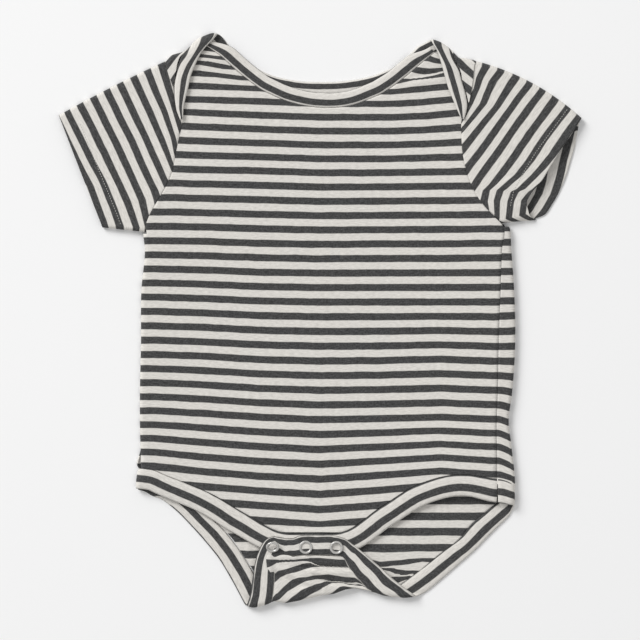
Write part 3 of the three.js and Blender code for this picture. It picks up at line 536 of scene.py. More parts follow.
def bend_at(table, height):
    table = np.asarray(sorted(table, key=lambda point: point[1]), float)
    return np.interp(height, table[:, 1], table[:, 0])


CROTCH_LINE = np.asarray(CROTCH_FOLD, float)


def crotch_bend(x):
    return np.interp(x, CROTCH_LINE[:, 0], CROTCH_LINE[:, 1]) + CROTCH_ROLL + BACK_MIDDLE


def place_back(flat, lift=0.0):
    """Bends flat points of the back at the crotch and at both sides."""
    x, y = flat[..., 0], flat[..., 1]
    bend = crotch_bend(x)
    placed = folded(np.stack([x, bend], -1), (0, -1), CROTCH_ROLL, bend - y, lift)
    legs = y < LEG_REGION_TOP
    right = bend_at(RIGHT_BEND, y)
    side = folded(np.stack([right, y], -1), (1, 0), SIDE_ROLL, x - right, lift)
    placed = np.where((legs & (x > right))[..., None], side, placed)
    left = bend_at(LEFT_BEND, y)
    side = folded(np.stack([left, y], -1), (-1, 0), SIDE_ROLL, left - x, lift)
    return np.where((legs & (x < left))[..., None], side, placed)


print("folds, in mm: sides", SIDE_ROLL, "shoulders", SHOULDER_ROLL, "crotch", CROTCH_ROLL)

# %% [markdown]
# ## The back's body and its flap
# The flap is the back's own lower end. Its rows are laid out beyond the crotch fold and then bent up with
# the rest.

# %% Back: the body and the folded-up flap
CROTCH_ARC = math.pi * CROTCH_ROLL
ARC_ROWS = 12
FLAP_STEP = 1.0


def flap_top(x):
    top = np.array(FLAP_TOP)
    return np.interp(x, top[:, 0], top[:, 1])


def flap_row(left, right, past):
    """A flat row of the flap. past gives each point's distance beyond the crotch fold."""
    row = row_between([left, 0], [right, 0])
    row[:, 1] = crotch_bend(row[:, 0]) - past(row[:, 0])
    return row


flap_keys = [
    flap_row(left, right, lambda x, share=share: CROTCH_ARC + (flap_top(x) - crotch_bend(x)) * share)
    for share, left, right in FLAP_ROWS
]
flap_rows, _ = fill_rows(flap_keys, FLAP_STEP)
arc_rows = []
for step in range(ARC_ROWS + 1):
    share = 1 - step / ARC_ROWS
    left, right = (FOLD_ROW[1][k] * (1 - share) + FOLD_ROW[0][k] * share for k in (1, 2))
    arc_rows.append(flap_row(left, right, lambda x, share=share: CROTCH_ARC * share))
body_keys = [arc_rows[-1]] + [row_between(values[:2], values[2:]) for values in BACK_BODY_ROWS]
body_keys += [row_across(BACK_YOKE_ROW, (3, 9), COUNTS)]
body_rows, body_starts = fill_rows(body_keys, BODY_STEP)
back_flat = np.concatenate([flap_rows, arc_rows[:-1], body_rows])
FIRST_BODY_ROW = len(flap_rows) + ARC_ROWS
LEG_TOP_ROW = FIRST_BODY_ROW + body_starts[10]
BACK_UNDERARM_ROW = FIRST_BODY_ROW + body_starts[17]
BACK_YOKE_ROW_INDEX = len(back_flat) - 1
print("rows of the back:", len(back_flat), "leg top", LEG_TOP_ROW, "underarm", BACK_UNDERARM_ROW)

# %% [markdown]
# ## The side that turns over
# On the right the back comes round the fold and is sewn to the front. On the left only its rolled edge is
# seen.

# %% Back: the side that turns over to the seam
TURN_STEPS = 12
RETURN_STEPS = 6
SEAM_GAP = 0.1
LEFT_TURN_DEGREES = 68
seam_edge = front_body[: UNDERARM_ROW + 1, -1]


def turned_side(row, is_leg_top):
    """Flat points that carry a row of the back on to the side seam."""
    bend, height = row[-1]
    seam = np.interp(height, seam_edge[:, 1], seam_edge[:, 0]) + SEAM_GAP
    arc = math.pi * SIDE_ROLL
    turning = np.linspace(0, arc, TURN_STEPS + 1)[1:]
    returning = np.linspace(arc, arc + bend - seam, RETURN_STEPS + 1)[1:]
    distance = np.concatenate([turning, returning])
    rise = (SEAM_FOOT - height) * (1 - (1 - distance / distance[-1]) ** 2) if is_leg_top else 0.0
    return np.stack([bend + distance, height + rise + 0 * distance], -1)


side_flat = np.array([turned_side(row, index <= LEG_TOP_ROW) for index, row in enumerate(back_flat)])
right_edge = back_flat[:, -1:, 0]
right_foot = np.stack([np.broadcast_to(right_edge, side_flat.shape[:2]), side_flat[..., 1]], -1)
side_points = folded(right_foot, (1, 0), SIDE_ROLL, side_flat[..., 0] - right_edge)
left_turn = np.radians(LEFT_TURN_DEGREES) * (1 - np.arange(ROLL_COLUMNS) / ROLL_COLUMNS) * SIDE_ROLL
left_edge = back_flat[:, :1, 0]
left_height = np.broadcast_to(back_flat[:, :1, 1], (len(back_flat), ROLL_COLUMNS))
left_flat = np.stack([left_edge - left_turn, left_height], -1)
left_foot = np.stack([np.broadcast_to(left_edge, left_flat.shape[:2]), left_height], -1)
left_points = folded(left_foot, (-1, 0), SIDE_ROLL, np.broadcast_to(left_turn, left_flat.shape[:2]))
foot = np.stack([back_flat[..., 0], crotch_bend(back_flat[..., 0])], -1)
middle_points = folded(foot, (0, -1), CROTCH_ROLL, foot[..., 1] - back_flat[..., 1])
back_points = np.concatenate([left_points, middle_points, side_points], axis=1)
back_cut_flat = np.concatenate([left_flat, back_flat, side_flat], axis=1)
print("back grid before its straps:", back_points.shape[:2])

# %% [markdown]
# ## The shoulder straps of the back
# Each strap turns over a slanted fold and lies on the front as a small flap. Its tables go along the
# strap: distance past the fold, then the armhole edge, the cloth's edge and the binding's edge, measured
# along the fold line.

# %% Back: the shoulder straps and their small flaps
def strap_path(under, over, step):
    """Rows of a back strap: distance past the fold, then armhole, cloth and neck edges along it."""
    arc = math.pi * SHOULDER_ROLL
    table = np.array([list(row) for row in under] + [[arc + row[0], *row[1:]] for row in over])
    count = int(round((table[-1, 0] - table[0, 0]) / step))
    at = np.linspace(table[0, 0], table[-1, 0], count + 1)
    return np.column_stack([at] + [np.interp(at, table[:, 0], table[:, k]) for k in (1, 2, 3)])


STRAP_ROWS = 80
STRAP_GAP = 0.9
STRIPE_BLEND = 18
SHOULDER_ARC = math.pi * SHOULDER_ROLL
FOLD_BULGE_REACH = 7
STRAP_STEP = 0.4
STRAP_LEAST_WIDTH = 0.4
LEFT_FOLD_BULGE = [(0, 0.3), (5.6, 2.2), (13, 0.2), (18.4, 0.9), (24.4, 3.2), (35.7, 1.8), (40.4, -1.2)]
RIGHT_FOLD_BULGE = [(0, 0.4), (5, -1), (10, -3), (15, -1.2), (18.6, 0), (25, 0.6), (30.3, 0), (33.8, -1.8)]


def strap_flat(corner, along, bulge, distance, position):
    """A strap point's foot on the fold line, its place on the flat cut, and the way it bends outward."""
    along = np.asarray(along, float)
    outward = np.array([-along[1], along[0]]) if along[0] > 0 else np.array([along[1], -along[0]])
    distance, position = np.asarray(distance, float), np.asarray(position, float)
    straight = np.asarray(corner, float) + along * position[..., None]
    bulge = np.array(bulge)
    out = np.interp(position, bulge[:, 0], bulge[:, 1])
    out = out * np.exp(-(((distance - SHOULDER_ARC / 2) / FOLD_BULGE_REACH) ** 2))
    return straight + outward * out[..., None], straight + outward * distance[..., None], outward


def cloth_strap(corner, along, bulge, under, over, mirror):
    """Points of one strap, their places on the flat cut and turned back, and the distance past the fold."""
    path = strap_path(under, over, STRAP_STEP)[1:]
    path = path[path[:, 2] - STRAP_GAP - path[:, 1] > STRAP_LEAST_WIDTH]
    path = path[np.linspace(0, len(path) - 1, STRAP_ROWS).round().astype(int)]
    ends = (path[:, 1], path[:, 2] - STRAP_GAP)
    if mirror:
        ends = ends[::-1]
    share = np.linspace(0, 1, STRAP_COLUMNS + 1)
    position = ends[0][:, None] * (1 - share) + ends[1][:, None] * share
    distance = np.repeat(path[:, :1], STRAP_COLUMNS + 1, axis=1)
    foot, flat, outward = strap_flat(corner, along, bulge, distance, position)
    points = folded(foot, outward, SHOULDER_ROLL, distance)
    turned_back = foot - outward * (distance - SHOULDER_ARC)[..., None]
    return points, flat, turned_back, distance


BACK_STRIPES = {
    0: [(-111.9, 52.1), (123.1, 51.8)],
    5: [(-111.9, 3.3), (123.1, 3.6)],
    10: [(-111.9, -46.9), (123.1, -46.9)],
    15: [(-111.9, -96.4), (123.1, -96.7)],
    16: [(-111.9, -106.3), (26.7, -108.2), (115.8, -107.9), (123.1, -104.3)],
    17: [(-111.9, -118.1), (-52.5, -120.1), (26.7, -118.3), (115.8, -118.3), (123.1, -115.8)],
    18: [(-111.9, -128.7), (-52.5, -131.3), (26.7, -129), (115.8, -129), (123.1, -125.1)],
    19: [
        (-111.9, -141.2), (-54.8, -143.2), (-12.9, -141.9), (26.7, -138.9), (115.8, -138.9), (123.1, -136),
    ],
    20: [(-78.9, -151.1), (-46.5, -154.4), (26.7, -149.8), (115.8, -149.8)],
    20.75: [
        (-78.9, -157.7), (-46.5, -161.7), (33.3, -157.4), (39.9, -158.9), (49.8, -158.1), (60.4, -156.8),
        (67.7, -156.4), (115.8, -156.4),
    ],
    21.25: [
        (-78.9, -163.3), (-46.5, -167.6), (33.3, -161), (39.9, -162.5), (49.8, -161.7), (58.4, -160.5),
        (67.7, -158.7), (115.8, -161),
    ],
    21.75: [
        (-78.9, -167.6), (-46.5, -172.9), (33.3, -164.3), (39.9, -162.8), (47.9, -162.5), (51.2, -163.7),
        (57.1, -164.7), (60.4, -164.7), (66.3, -165),
    ],
    22.25: [
        (-78.9, -172.3), (-46.5, -177.5), (33.3, -167.6), (39.9, -163.7), (46.5, -165), (50.5, -167.3),
        (55.1, -167.8), (60.4, -167.3), (66.3, -168.3),
    ],
    22.75: [(39.9, -167.6), (46.5, -169), (49.8, -168), (55.1, -168), (60.4, -167.6), (66.3, -170.9)],
    23.25: [(39.9, -172.9), (46.5, -172.9), (51.2, -172.9), (56.4, -170.9), (60.4, -169.6), (66.3, -173.6)],
}
LEFT_STRAP_STRIPES = {
    -12: [(-102.6, 166), (-96.4, 173.7), (-92.5, 176.9)],
    -13: [(-94.6, 159.7), (-89.6, 167.6)],
}
RIGHT_STRAP_STRIPES = {
    -12: [(89.4, 172.3), (91.7, 170.3), (100, 163), (105.9, 157.7)],
    -13: [(92.7, 156.8), (95.7, 154.4), (100, 151.1), (105.9, 146.5)],
}
FLAP_STRIPES = {
    -1: [(-32.7, -150.8), (-14.9, -148.8), (0.3, -149.2), (18.2, -150.5)],
    -0.25: [
        (-34.3, -156.7), (-26.1, -157.3), (-20.8, -157.3), (-10.8, -156.7), (-6, -156), (-0.1, -156),
        (16.4, -157.3), (24.1, -158.4),
    ],
    0.25: [
        (-34.3, -162.3), (-32.5, -161.7), (-28.4, -159.3), (-23.7, -158.5), (-10.8, -158.1), (-6, -158.7),
        (-3.1, -160.2), (0.5, -161.2), (5.7, -161.9), (17.6, -162.3), (24.1, -163),
    ],
    0.75: [
        (-34.3, -169), (-30.2, -166.7), (-27.3, -164.3), (-22.5, -163.6), (-17.8, -162), (-10.8, -159.5),
        (-6, -159.1), (-3.1, -160.3), (0.5, -161.3), (5.7, -162), (17.6, -162.4), (24.1, -163.1),
    ],
    1.25: [
        (-33.1, -174.2), (-29.6, -172), (-26.1, -169), (-21.4, -166.4), (-16.6, -165.8), (-11.9, -164.3),
        (-6, -162.6), (0.5, -161.7), (5.7, -162.2), (17.6, -162.6), (24.1, -163.3),
    ],
    1.75: [
        (-33.1, -184.4), (-29.6, -181.4), (-23.7, -175.2), (-17.8, -170), (-14.3, -168.8), (-9, -168.6),
        (-3.1, -167.3), (5.7, -166.6), (11.6, -167.4), (17.6, -168.5), (23.4, -169), (28.1, -172.6),
        (33.3, -174.9),
    ],
    2.25: [
        (-32.7, -187.4), (-29.6, -184.7), (-26.1, -183.2), (-20.8, -177.9), (-14.9, -174.6),
        (-10.2, -171.5), (-3.1, -170.2), (2.8, -170), (7.5, -171.4), (14.6, -171.5), (20.5, -173.1),
        (28.1, -174), (33.3, -176.2),
    ],
    2.75: [
        (-29.4, -190.7), (-23.7, -186.5), (-17.8, -181.4), (-11.9, -177.3), (-6, -174.4), (-3.1, -173.4),
        (1.1, -172.6), (4.6, -171.1), (7.5, -171.6), (14.6, -171.8), (20.5, -173.3), (28.1, -174.2),
        (33.3, -176.5),
    ],
    3.25: [
        (-26.1, -190.1), (-21.4, -187.7), (-14.3, -185.3), (-9, -182), (-3.1, -178.2), (2.8, -175.2),
        (7.5, -172.9), (14.6, -172.1), (20.5, -173.7), (28.1, -174.5), (33.3, -176.7),
    ],
    3.75: [
        (-22.8, -200.6), (-12.9, -192.1), (-0.1, -184.1), (8.7, -178.5), (11.6, -176.2), (14, -174.6),
        (17.6, -175), (22.2, -175.8), (28.1, -176.9), (33.3, -178.2),
    ],
    4.25: [
        (-22.8, -210.5), (-12.9, -200.6), (-0.1, -189.4), (9.6, -181.5), (17, -177.9), (19.9, -176.4),
        (22.8, -176.2), (28.1, -177.3), (33.3, -178.9),
    ],
}

LEFT_STRAP = (LEFT_FOLD_CORNER, LEFT_FOLD_ALONG, LEFT_FOLD_BULGE, LEFT_UNDER, LEFT_OVER)
RIGHT_STRAP = (RIGHT_FOLD_CORNER, RIGHT_FOLD_ALONG, RIGHT_FOLD_BULGE, RIGHT_UNDER, RIGHT_OVER)
left_strap_points, left_strap_flat, left_strap_back, left_distance = cloth_strap(*LEFT_STRAP, False)
right_strap_points, right_strap_flat, right_strap_back, right_distance = cloth_strap(*RIGHT_STRAP, True)


def strap_count_at(flat, turned_back, distance, lines, across):
    own = stripe_count(turned_back, lines, across)
    body = stripe_count(flat, BACK_STRIPES, 0)
    share = smoothstep(distance, -STRIPE_BLEND, SHOULDER_ARC)
    return body * (1 - share) + own * share


left_counts = strap_count_at(left_strap_flat, left_strap_back, left_distance, LEFT_STRAP_STRIPES, 1)
right_counts = strap_count_at(right_strap_flat, right_strap_back, right_distance, RIGHT_STRAP_STRIPES, 0)
print("strap grids:", left_strap_points.shape[:2], right_strap_points.shape[:2])

# %% [markdown]
# ## One mesh for the back
# Flap, body, sides and straps join into one grid. The stripes on the turned side are moved, little by
# little toward the seam, until each one meets its neighbour on the front.

# %% Back: one mesh
SIDE_LEVEL_HEIGHT = -5.9
SIDE_BLEND = (-13.9, 15.8)
body_counts = stripe_count(back_cut_flat, BACK_STRIPES, 0)
flap_height = 2 * crotch_bend(back_cut_flat[..., 0]) - CROTCH_ARC - back_cut_flat[..., 1]
flap_place = np.stack([back_cut_flat[..., 0], flap_height], -1)
flap_counts = stripe_count(flap_place, FLAP_STRIPES, 0)
on_flap = np.arange(len(back_flat)) < FIRST_BODY_ROW
body_counts[on_flap] = flap_counts[on_flap]
seam_height = side_points[:, -1, 1]
seam_place = np.stack([np.interp(seam_height, seam_edge[:, 1], seam_edge[:, 0]), seam_height], -1)
step = stripe_count(seam_place, FRONT_STRIPES, 0) - body_counts[:, -1]
level = np.interp(SIDE_LEVEL_HEIGHT, seam_height[FIRST_BODY_ROW:], step[FIRST_BODY_ROW:])
low = smoothstep(-seam_height, *SIDE_BLEND)
side_share = smoothstep(np.arange(TURN_STEPS + RETURN_STEPS), TURN_STEPS * 0.6, TURN_STEPS + RETURN_STEPS - 1)
nearest = (step - round(level)) * low * (np.arange(len(back_flat)) >= FIRST_BODY_ROW)
body_counts[:, -(TURN_STEPS + RETURN_STEPS) :] += nearest[:, None] * side_share
total_columns = back_points.shape[1]
strap_points = np.repeat(back_points[-1][None], STRAP_ROWS, axis=0)
strap_counts = np.repeat(body_counts[-1][None], STRAP_ROWS, axis=0)
strap_x = np.repeat(back_cut_flat[-1][None, :, 0], STRAP_ROWS, axis=0)
left_columns = slice(ROLL_COLUMNS, ROLL_COLUMNS + STRAP_COLUMNS + 1)
right_start = ROLL_COLUMNS + STRAP_COLUMNS + NECK_COLUMNS
right_columns = slice(right_start, right_start + STRAP_COLUMNS + 1)
strap_points[:, left_columns] = left_strap_points
strap_points[:, right_columns] = right_strap_points
strap_counts[:, left_columns] = left_counts
strap_counts[:, right_columns] = right_counts
strap_x[:, left_columns], strap_x[:, right_columns] = left_strap_flat[..., 0], right_strap_flat[..., 0]
back_grid = np.concatenate([back_points, strap_points])
back_counts = np.concatenate([body_counts, strap_counts])
back_cut = np.stack([np.concatenate([back_cut_flat[..., 0], strap_x]) * MM, back_counts * STRIPE_PITCH], -1)
back_present = np.ones((len(back_grid) - 1, total_columns - 1), bool)
back_present[:LEG_TOP_ROW, :ROLL_COLUMNS] = False
back_present[:LEG_TOP_ROW, ROLL_COLUMNS + BODY_COLUMNS :] = False
back_present[BACK_UNDERARM_ROW:, :ROLL_COLUMNS] = False
back_present[BACK_UNDERARM_ROW:, ROLL_COLUMNS + BODY_COLUMNS :] = False
back_present[BACK_YOKE_ROW_INDEX:, ROLL_COLUMNS + STRAP_COLUMNS : right_start] = False
flap_grid = back_grid[:FIRST_BODY_ROW]
on_upper_layer = flap_grid[..., 2] > CROTCH_ROLL + BACK_MIDDLE + 1
flap_grid[..., 2] += creases(flap_grid, FLAP_CREASES) * on_upper_layer
back = cloth_mesh("back_cloth", back_grid, back_cut, back_present, wall=CLOTH_WALL)
print("back grid:", back_grid.shape[:2])

# %% [markdown]
# ## The sleeves
# Each sleeve is a flattened tube: rings run from the armhole seam to the cuff, over the top, round the
# lower edge and back underneath. The stripes cross the sleeve at a slant, because it was cut on the
# straight grain.

# %% Sleeves
LEFT_ARMHOLE = [
    (-102, 168.6, 4.2), (-99.6, 162.4, 4.2), (-97, 154.8, 4.2), (-96.2, 146.5, 4.2), (-95.1, 138.6, 4.1),
    (-92.2, 131.3, 3.9), (-94.1, 117.9, 3.9), (-96, 107.6, 4.1), (-97.6, 98.7, 4.3), (-103.7, 85.1, 4.6),
    (-109, 76, 4.8), (-113.5, 66.9, 4.8), (-115.3, 61.2, 4.8),
]
LEFT_CUFF = [(-171, 133.7, 4), (-158.4, 101, 4.3), (-143.7, 63.7, 4)]
RIGHT_ARMHOLE = [
    (102.4, 169.3, 4.2), (101.3, 161.7, 4.2), (100.4, 153.8, 4.2), (99.7, 147.8, 4.2), (97.2, 139.3, 4),
    (94.8, 132, 3.9), (94.4, 122.8, 3.9), (95.1, 110.2, 4.1), (97.6, 97.7, 4.3), (102, 86.3, 4.6),
    (108.6, 76.3, 4.8), (115.2, 70.3, 4.8), (119.5, 66.5, 4.8),
]
RIGHT_CUFF_FRONT = [
    (171.6, 132, 4), (166.7, 124.1, 4.6), (158.7, 112.5, 5.2), (151.8, 101.3, 5.4), (145.2, 90.8, 5.4),
    (139.4, 84.2, 5.4), (136.5, 77.9, 5.2), (137.9, 71, 4.4),
]
RIGHT_CUFF_BACK = [
    (171.6, 132), (170, 124.1), (168.3, 114.8), (165.7, 105.6), (162.7, 95.7), (158.7, 86.5), (153.5, 77.2),
    (148.2, 70), (142.6, 67.7),
]
LEFT_SLEEVE_STRIPES = {
    0: [(-168.8, 125.3), (-163, 112.9), (-157.2, 100.6), (-151, 88.9), (-145.6, 74.2), (-140.9, 60.7)],
    1: [(-166.1, 137), (-158.7, 122.2), (-151, 106.7), (-143.2, 92.8), (-136.3, 75.8), (-130.9, 60.7)],
    2: [(-157.2, 141.6), (-148.7, 125.3), (-140.9, 109.1), (-133.2, 92.8), (-126.2, 78.1), (-119.3, 59.5)],
    3: [(-148.8, 147), (-140.1, 129.2), (-131.7, 112.2), (-123.9, 95.1), (-116.9, 79.7), (-114.6, 68.8)],
    4: [(-140.1, 151.7), (-130.9, 133.1), (-122.4, 116), (-114.6, 98.2), (-108.4, 85.8), (-106.5, 78.1)],
    5: [(-131.3, 156), (-122.4, 137), (-114.6, 120.7), (-107.6, 105.2), (-101, 90.5)],
    6: [(-122.4, 160.6), (-114.6, 143.9), (-106.9, 126.9), (-99.1, 109.1), (-96.8, 102.9)],
    7: [(-113.2, 164.8), (-106.9, 149.4), (-101.4, 137), (-96, 120.7), (-95.6, 117.6)],
    8: [(-104, 168.7), (-100.3, 156.3), (-97.2, 145.5)],
}
RIGHT_SLEEVE_STRIPES = {
    -1: [(178.5, 127.4), (158.7, 101), (138.1, 83), (134.8, 79.3), (133.7, 71.2)],
    0: [
        (171.3, 134.5), (162.6, 123), (154.4, 110.4), (146.2, 100.8), (138.8, 92.7), (132.9, 86.7),
        (128.4, 85.3), (125.9, 78.6), (125.1, 71.9),
    ],
    1: [
        (163.6, 140.1), (155.1, 129.7), (146.3, 117.9), (138.8, 106), (131.4, 96.4), (124, 90.4),
        (118.8, 86), (116.6, 79.3), (116.6, 74.9),
    ],
    2: [
        (154.4, 145.3), (146.3, 133.4), (138.8, 123.8), (130, 110.4), (122.5, 100.1), (115.1, 90.4),
        (110, 86), (108.8, 78.6), (110.7, 71.2),
    ],
    3: [
        (146.3, 151.2), (138.8, 141.6), (130, 129.7), (121, 116.4), (112.1, 103.8), (104, 92.7),
        (101, 87.5),
    ],
    4: [
        (138.5, 156.4), (131.4, 147.5), (123.3, 136.4), (115.1, 123.8), (107, 112.7), (98.1, 101.6),
        (95.8, 97.9),
    ],
    5: [(129.6, 160.8), (123.3, 151.2), (116.6, 140.8), (109.2, 131.9), (101, 121.6), (95.1, 114.2)],
    6: [(119.9, 165.3), (113.7, 157.9), (110, 149.7), (107.7, 143), (100.3, 134.2), (94.4, 127.5)],
    7: [(109.6, 167.5), (105.5, 160.1), (103.3, 152.7), (99.9, 145.3)],
}
RIGHT_INSIDE_STRIPES = {
    -1: [(164, 117.9), (161, 106), (158.1, 93.4), (155.1, 83.8), (148.4, 72.7), (143.3, 66.7)],
    0: [(153.5, 117.9), (150.5, 106), (147.5, 93.4), (144.5, 83.8), (137.9, 72.7), (132.7, 66.7)],
    1: [(142.9, 117.9), (139.9, 106), (137, 93.4), (134, 83.8), (127.3, 72.7), (122.2, 66.7)],
}
SLEEVE_COLUMNS = 90
SLEEVE_TUCK = 1.8
TUCK_HEIGHT = 1.9
TUCK_FLATTEN = 0.25
ARMHOLE_HEIGHT = 2.3
SLEEVE_TURN = 10
SLEEVE_RINGS = 70


def sleeve_ring(upper, lower):
    """One ring: along the top layer, round the lower edge, back along the bottom, round the upper edge."""
    top = line(upper, SLEEVE_COLUMNS)
    bottom = line([[x, y, BACK_MIDDLE] for x, y, *_ in lower], SLEEVE_COLUMNS)

    def turn(high, low, before):
        out = high[:2] - before[:2]
        out /= np.linalg.norm(out)
        angle = np.pi * np.arange(1, SLEEVE_TURN) / SLEEVE_TURN
        radius = (high[2] - low[2]) / 2
        side = high[:2] + (low[:2] - high[:2]) * ((1 - np.cos(angle)) / 2)[:, None]
        flat = side + out * (radius * np.sin(angle))[:, None]
        return np.column_stack([flat, (high[2] + low[2]) / 2 + radius * np.cos(angle)])

    end = turn(top[-1], bottom[-1], top[-2])
    start = turn(top[0], bottom[0], top[1])[::-1]
    return np.vstack([top, end, bottom[::-1], start])


def sleeve_grid(armhole, cuff_front, cuff_back, upper_bulge):
    """Rings from the seam to the cuff. The upper edge curves out between them."""
    seam, cuff = sleeve_ring(armhole, armhole), sleeve_ring(cuff_front, cuff_back)
    share = np.linspace(0, 1, SLEEVE_RINGS + 1)[:, None, None]
    grid = seam * (1 - share) + cuff * share
    run = cuff[0, :2] - seam[0, :2]
    out = np.array([-run[1], run[0]]) * np.sign(run[0]) / np.linalg.norm(run)
    index = np.arange(seam.shape[0])
    on_top = 1 - index / SLEEVE_COLUMNS
    on_bottom = (index - SLEEVE_COLUMNS - SLEEVE_TURN) / SLEEVE_COLUMNS
    near_edge = np.clip(np.maximum(on_top, on_bottom), 0, 1) ** 2
    grid[..., :2] += (4 * share * (1 - share) * upper_bulge) * near_edge[None, :, None] * out
    inward = (seam - cuff)[:, :2]
    inward /= np.linalg.norm(inward, axis=1, keepdims=True)
    tucked_height = TUCK_HEIGHT + (seam[:, 2] - ARMHOLE_HEIGHT) * TUCK_FLATTEN
    tucked = np.column_stack([seam[:, :2] + inward * SLEEVE_TUCK, tucked_height])
    return np.concatenate([tucked[None], grid])


def sleeve_counts(grid, front_lines, back_lines):
    counts = stripe_count(grid[..., :2], front_lines, 1)
    under = stripe_count(grid[..., :2], back_lines, 1)
    across = np.clip((np.arange(grid.shape[1]) - SLEEVE_COLUMNS - SLEEVE_TURN) / SLEEVE_COLUMNS, 0, 1)
    at_cuff = smoothstep(np.arange(len(grid)) / (len(grid) - 1), 0.8, 0.9)[:, None]
    own = (1 - smoothstep(across, 0.35, 0.8)) * (1 - at_cuff) + (1 - smoothstep(across, 0.88, 1.0)) * at_cuff
    under = counts * (1 - own) + under * own
    middle = SLEEVE_COLUMNS + SLEEVE_TURN
    counts[:, middle : middle + SLEEVE_COLUMNS + 1] = under[:, middle : middle + SLEEVE_COLUMNS + 1]
    edge = np.linspace(0, 1, SLEEVE_TURN + 1)[1:-1]
    low = slice(SLEEVE_COLUMNS + 1, middle)
    counts[:, low] = counts[:, SLEEVE_COLUMNS, None] * (1 - edge) + counts[:, middle, None] * edge
    last = middle + SLEEVE_COLUMNS
    counts[:, last + 1 :] = counts[:, last, None] * (1 - edge) + counts[:, 0, None] * edge
    return np.concatenate([counts, counts[:, :1]], axis=1)


def sleeve_mesh(name, armhole, cuff_front, cuff_back, upper_bulge, front_lines, back_lines, sleeve_creases):
    grid = sleeve_grid(armhole, cuff_front, cuff_back, upper_bulge)
    counts = sleeve_counts(grid, front_lines, back_lines)
    grid[:, : SLEEVE_COLUMNS + 1, 2] += creases(grid[:, : SLEEVE_COLUMNS + 1], sleeve_creases)
    round_length = np.concatenate([lengths(grid[-1]), [0]])
    round_length[-1] = round_length[-2] + np.linalg.norm(grid[-1, 0] - grid[-1, -1])
    cut = np.stack([np.broadcast_to(round_length * MM, counts.shape), counts * STRIPE_PITCH], -1)
    print(f"{name}: rings and points {grid.shape[:2]}")
    return cloth_mesh(name, grid, cut, ring=True, wall=CLOTH_WALL)


LEFT_SLEEVE_CREASES = [(-111.9, 79.9, -97.4, 132.7, 4, 0.25)]
RIGHT_SLEEVE_CREASES = [(119.1, 89.8, 138.9, 85.1, 4, 0.8)]
LEFT_BULGE = 0.8
RIGHT_BULGE = 4.9
left_sleeve = sleeve_mesh(
    "left_sleeve_cloth", LEFT_ARMHOLE, LEFT_CUFF, LEFT_CUFF, LEFT_BULGE,
    LEFT_SLEEVE_STRIPES, LEFT_SLEEVE_STRIPES, LEFT_SLEEVE_CREASES,
)
right_sleeve = sleeve_mesh(
    "right_sleeve_cloth", RIGHT_ARMHOLE, RIGHT_CUFF_FRONT, RIGHT_CUFF_BACK, RIGHT_BULGE,
    RIGHT_SLEEVE_STRIPES, RIGHT_INSIDE_STRIPES, RIGHT_SLEEVE_CREASES,
)

# %% [markdown]
# ## The bindings
# A binding is a narrow strip folded over the cut edge. It shows as a flattened tube with a soft ridge,
# and its stripes run along it. Each tube is made round the middle surface that its path gives.

# %% Bindings: helpers
BINDING_THICK = 1.7
PATH_STEP = 1.2
BINDING_SEAM = 0.15
NECK_BINDING_WIDTH = 9.6
SIDE_LEG_PLACES = (0, 0.3, 0.5, 0.8, 1)
SIDE_LEG_WIDTHS = (15.8, 13.9, 13.5, 15.4, 16)
ACROSS = 14


def smooth_path(points, step, width):
    """Even steps along a path, with its corners rounded over the width."""
    points = np.asarray(points, float)
    along = lengths(points)
    keep = np.concatenate([[True], np.diff(along) > 1e-6])
    along, points = along[keep], points[keep]
    count = int(round(along[-1] / step))
    at = np.linspace(0, along[-1], count + 1)
    path = np.column_stack([np.interp(at, along, points[:, k]) for k in range(points.shape[1])])
    reach = int(round(width / step))
    weights = np.hanning(2 * reach + 3)[1:-1]
    weights /= weights.sum()
    first, last = path[0], path[-1]
    padded = np.concatenate([2 * first - path[reach:0:-1], path, 2 * last - path[-2 : -2 - reach : -1]])
    return np.column_stack([np.convolve(padded[:, k], weights, mode="valid") for k in range(path.shape[1])])


def strip_between(inner, outer):
    """Columns across a binding, from its seam to its free edge."""
    share = np.linspace(0, 1, ACROSS + 1)[None, :, None]
    return inner[:, None] * (1 - share) + outer[:, None] * share


def binding_mesh(name, middle, over_counts, under_counts):
    """A flattened tube round the middle surface, with the counts of stripes at its seam and its free edge."""
    along = np.gradient(middle, axis=0)
    across = np.gradient(middle, axis=1)
    normal = np.cross(along, across)
    normal /= np.maximum(np.linalg.norm(normal, axis=2, keepdims=True), 1e-9)
    if normal[..., 2].mean() < 0:
        normal = -normal
    share = np.linspace(0, 1, ACROSS + 1)
    half = BINDING_THICK / 2 * np.sqrt(np.clip(1 - np.abs(2 * share - 1) ** 3, 0, 1))
    ends = np.ones(len(middle))
    ends[0] = ends[-1] = 0.1
    raised = normal * (half[None, :, None] * ends[:, None, None])
    tube = np.concatenate([middle + raised, (middle - raised)[:, -2:0:-1]], axis=1)
    over, under = (
        np.broadcast_to(seam, len(middle))[:, None] * (1 - share)
        + np.broadcast_to(edge, len(middle))[:, None] * share
        for seam, edge in (over_counts, under_counts)
    )
    counts = np.concatenate([over, under[:, -2:0:-1], under[:, :1]], axis=1)
    run = lengths(middle[:, ACROSS // 2]) * MM
    cut = np.stack(np.broadcast_arrays(run[:, None], counts * STRIPE_PITCH), -1)
    print(f"{name}: {run[-1]:.3f} m along")
    return cloth_mesh(name, tube, cut, ring=True)


print("bindings are", BINDING_THICK, "mm thick")

# %% [markdown]
# ## The neck bindings
# The front's binding follows the neck and both straps. The back's is longer: it starts on one shoulder
# flap, goes round that fold, along the back of the neck, round the other fold and ends on the other flap.

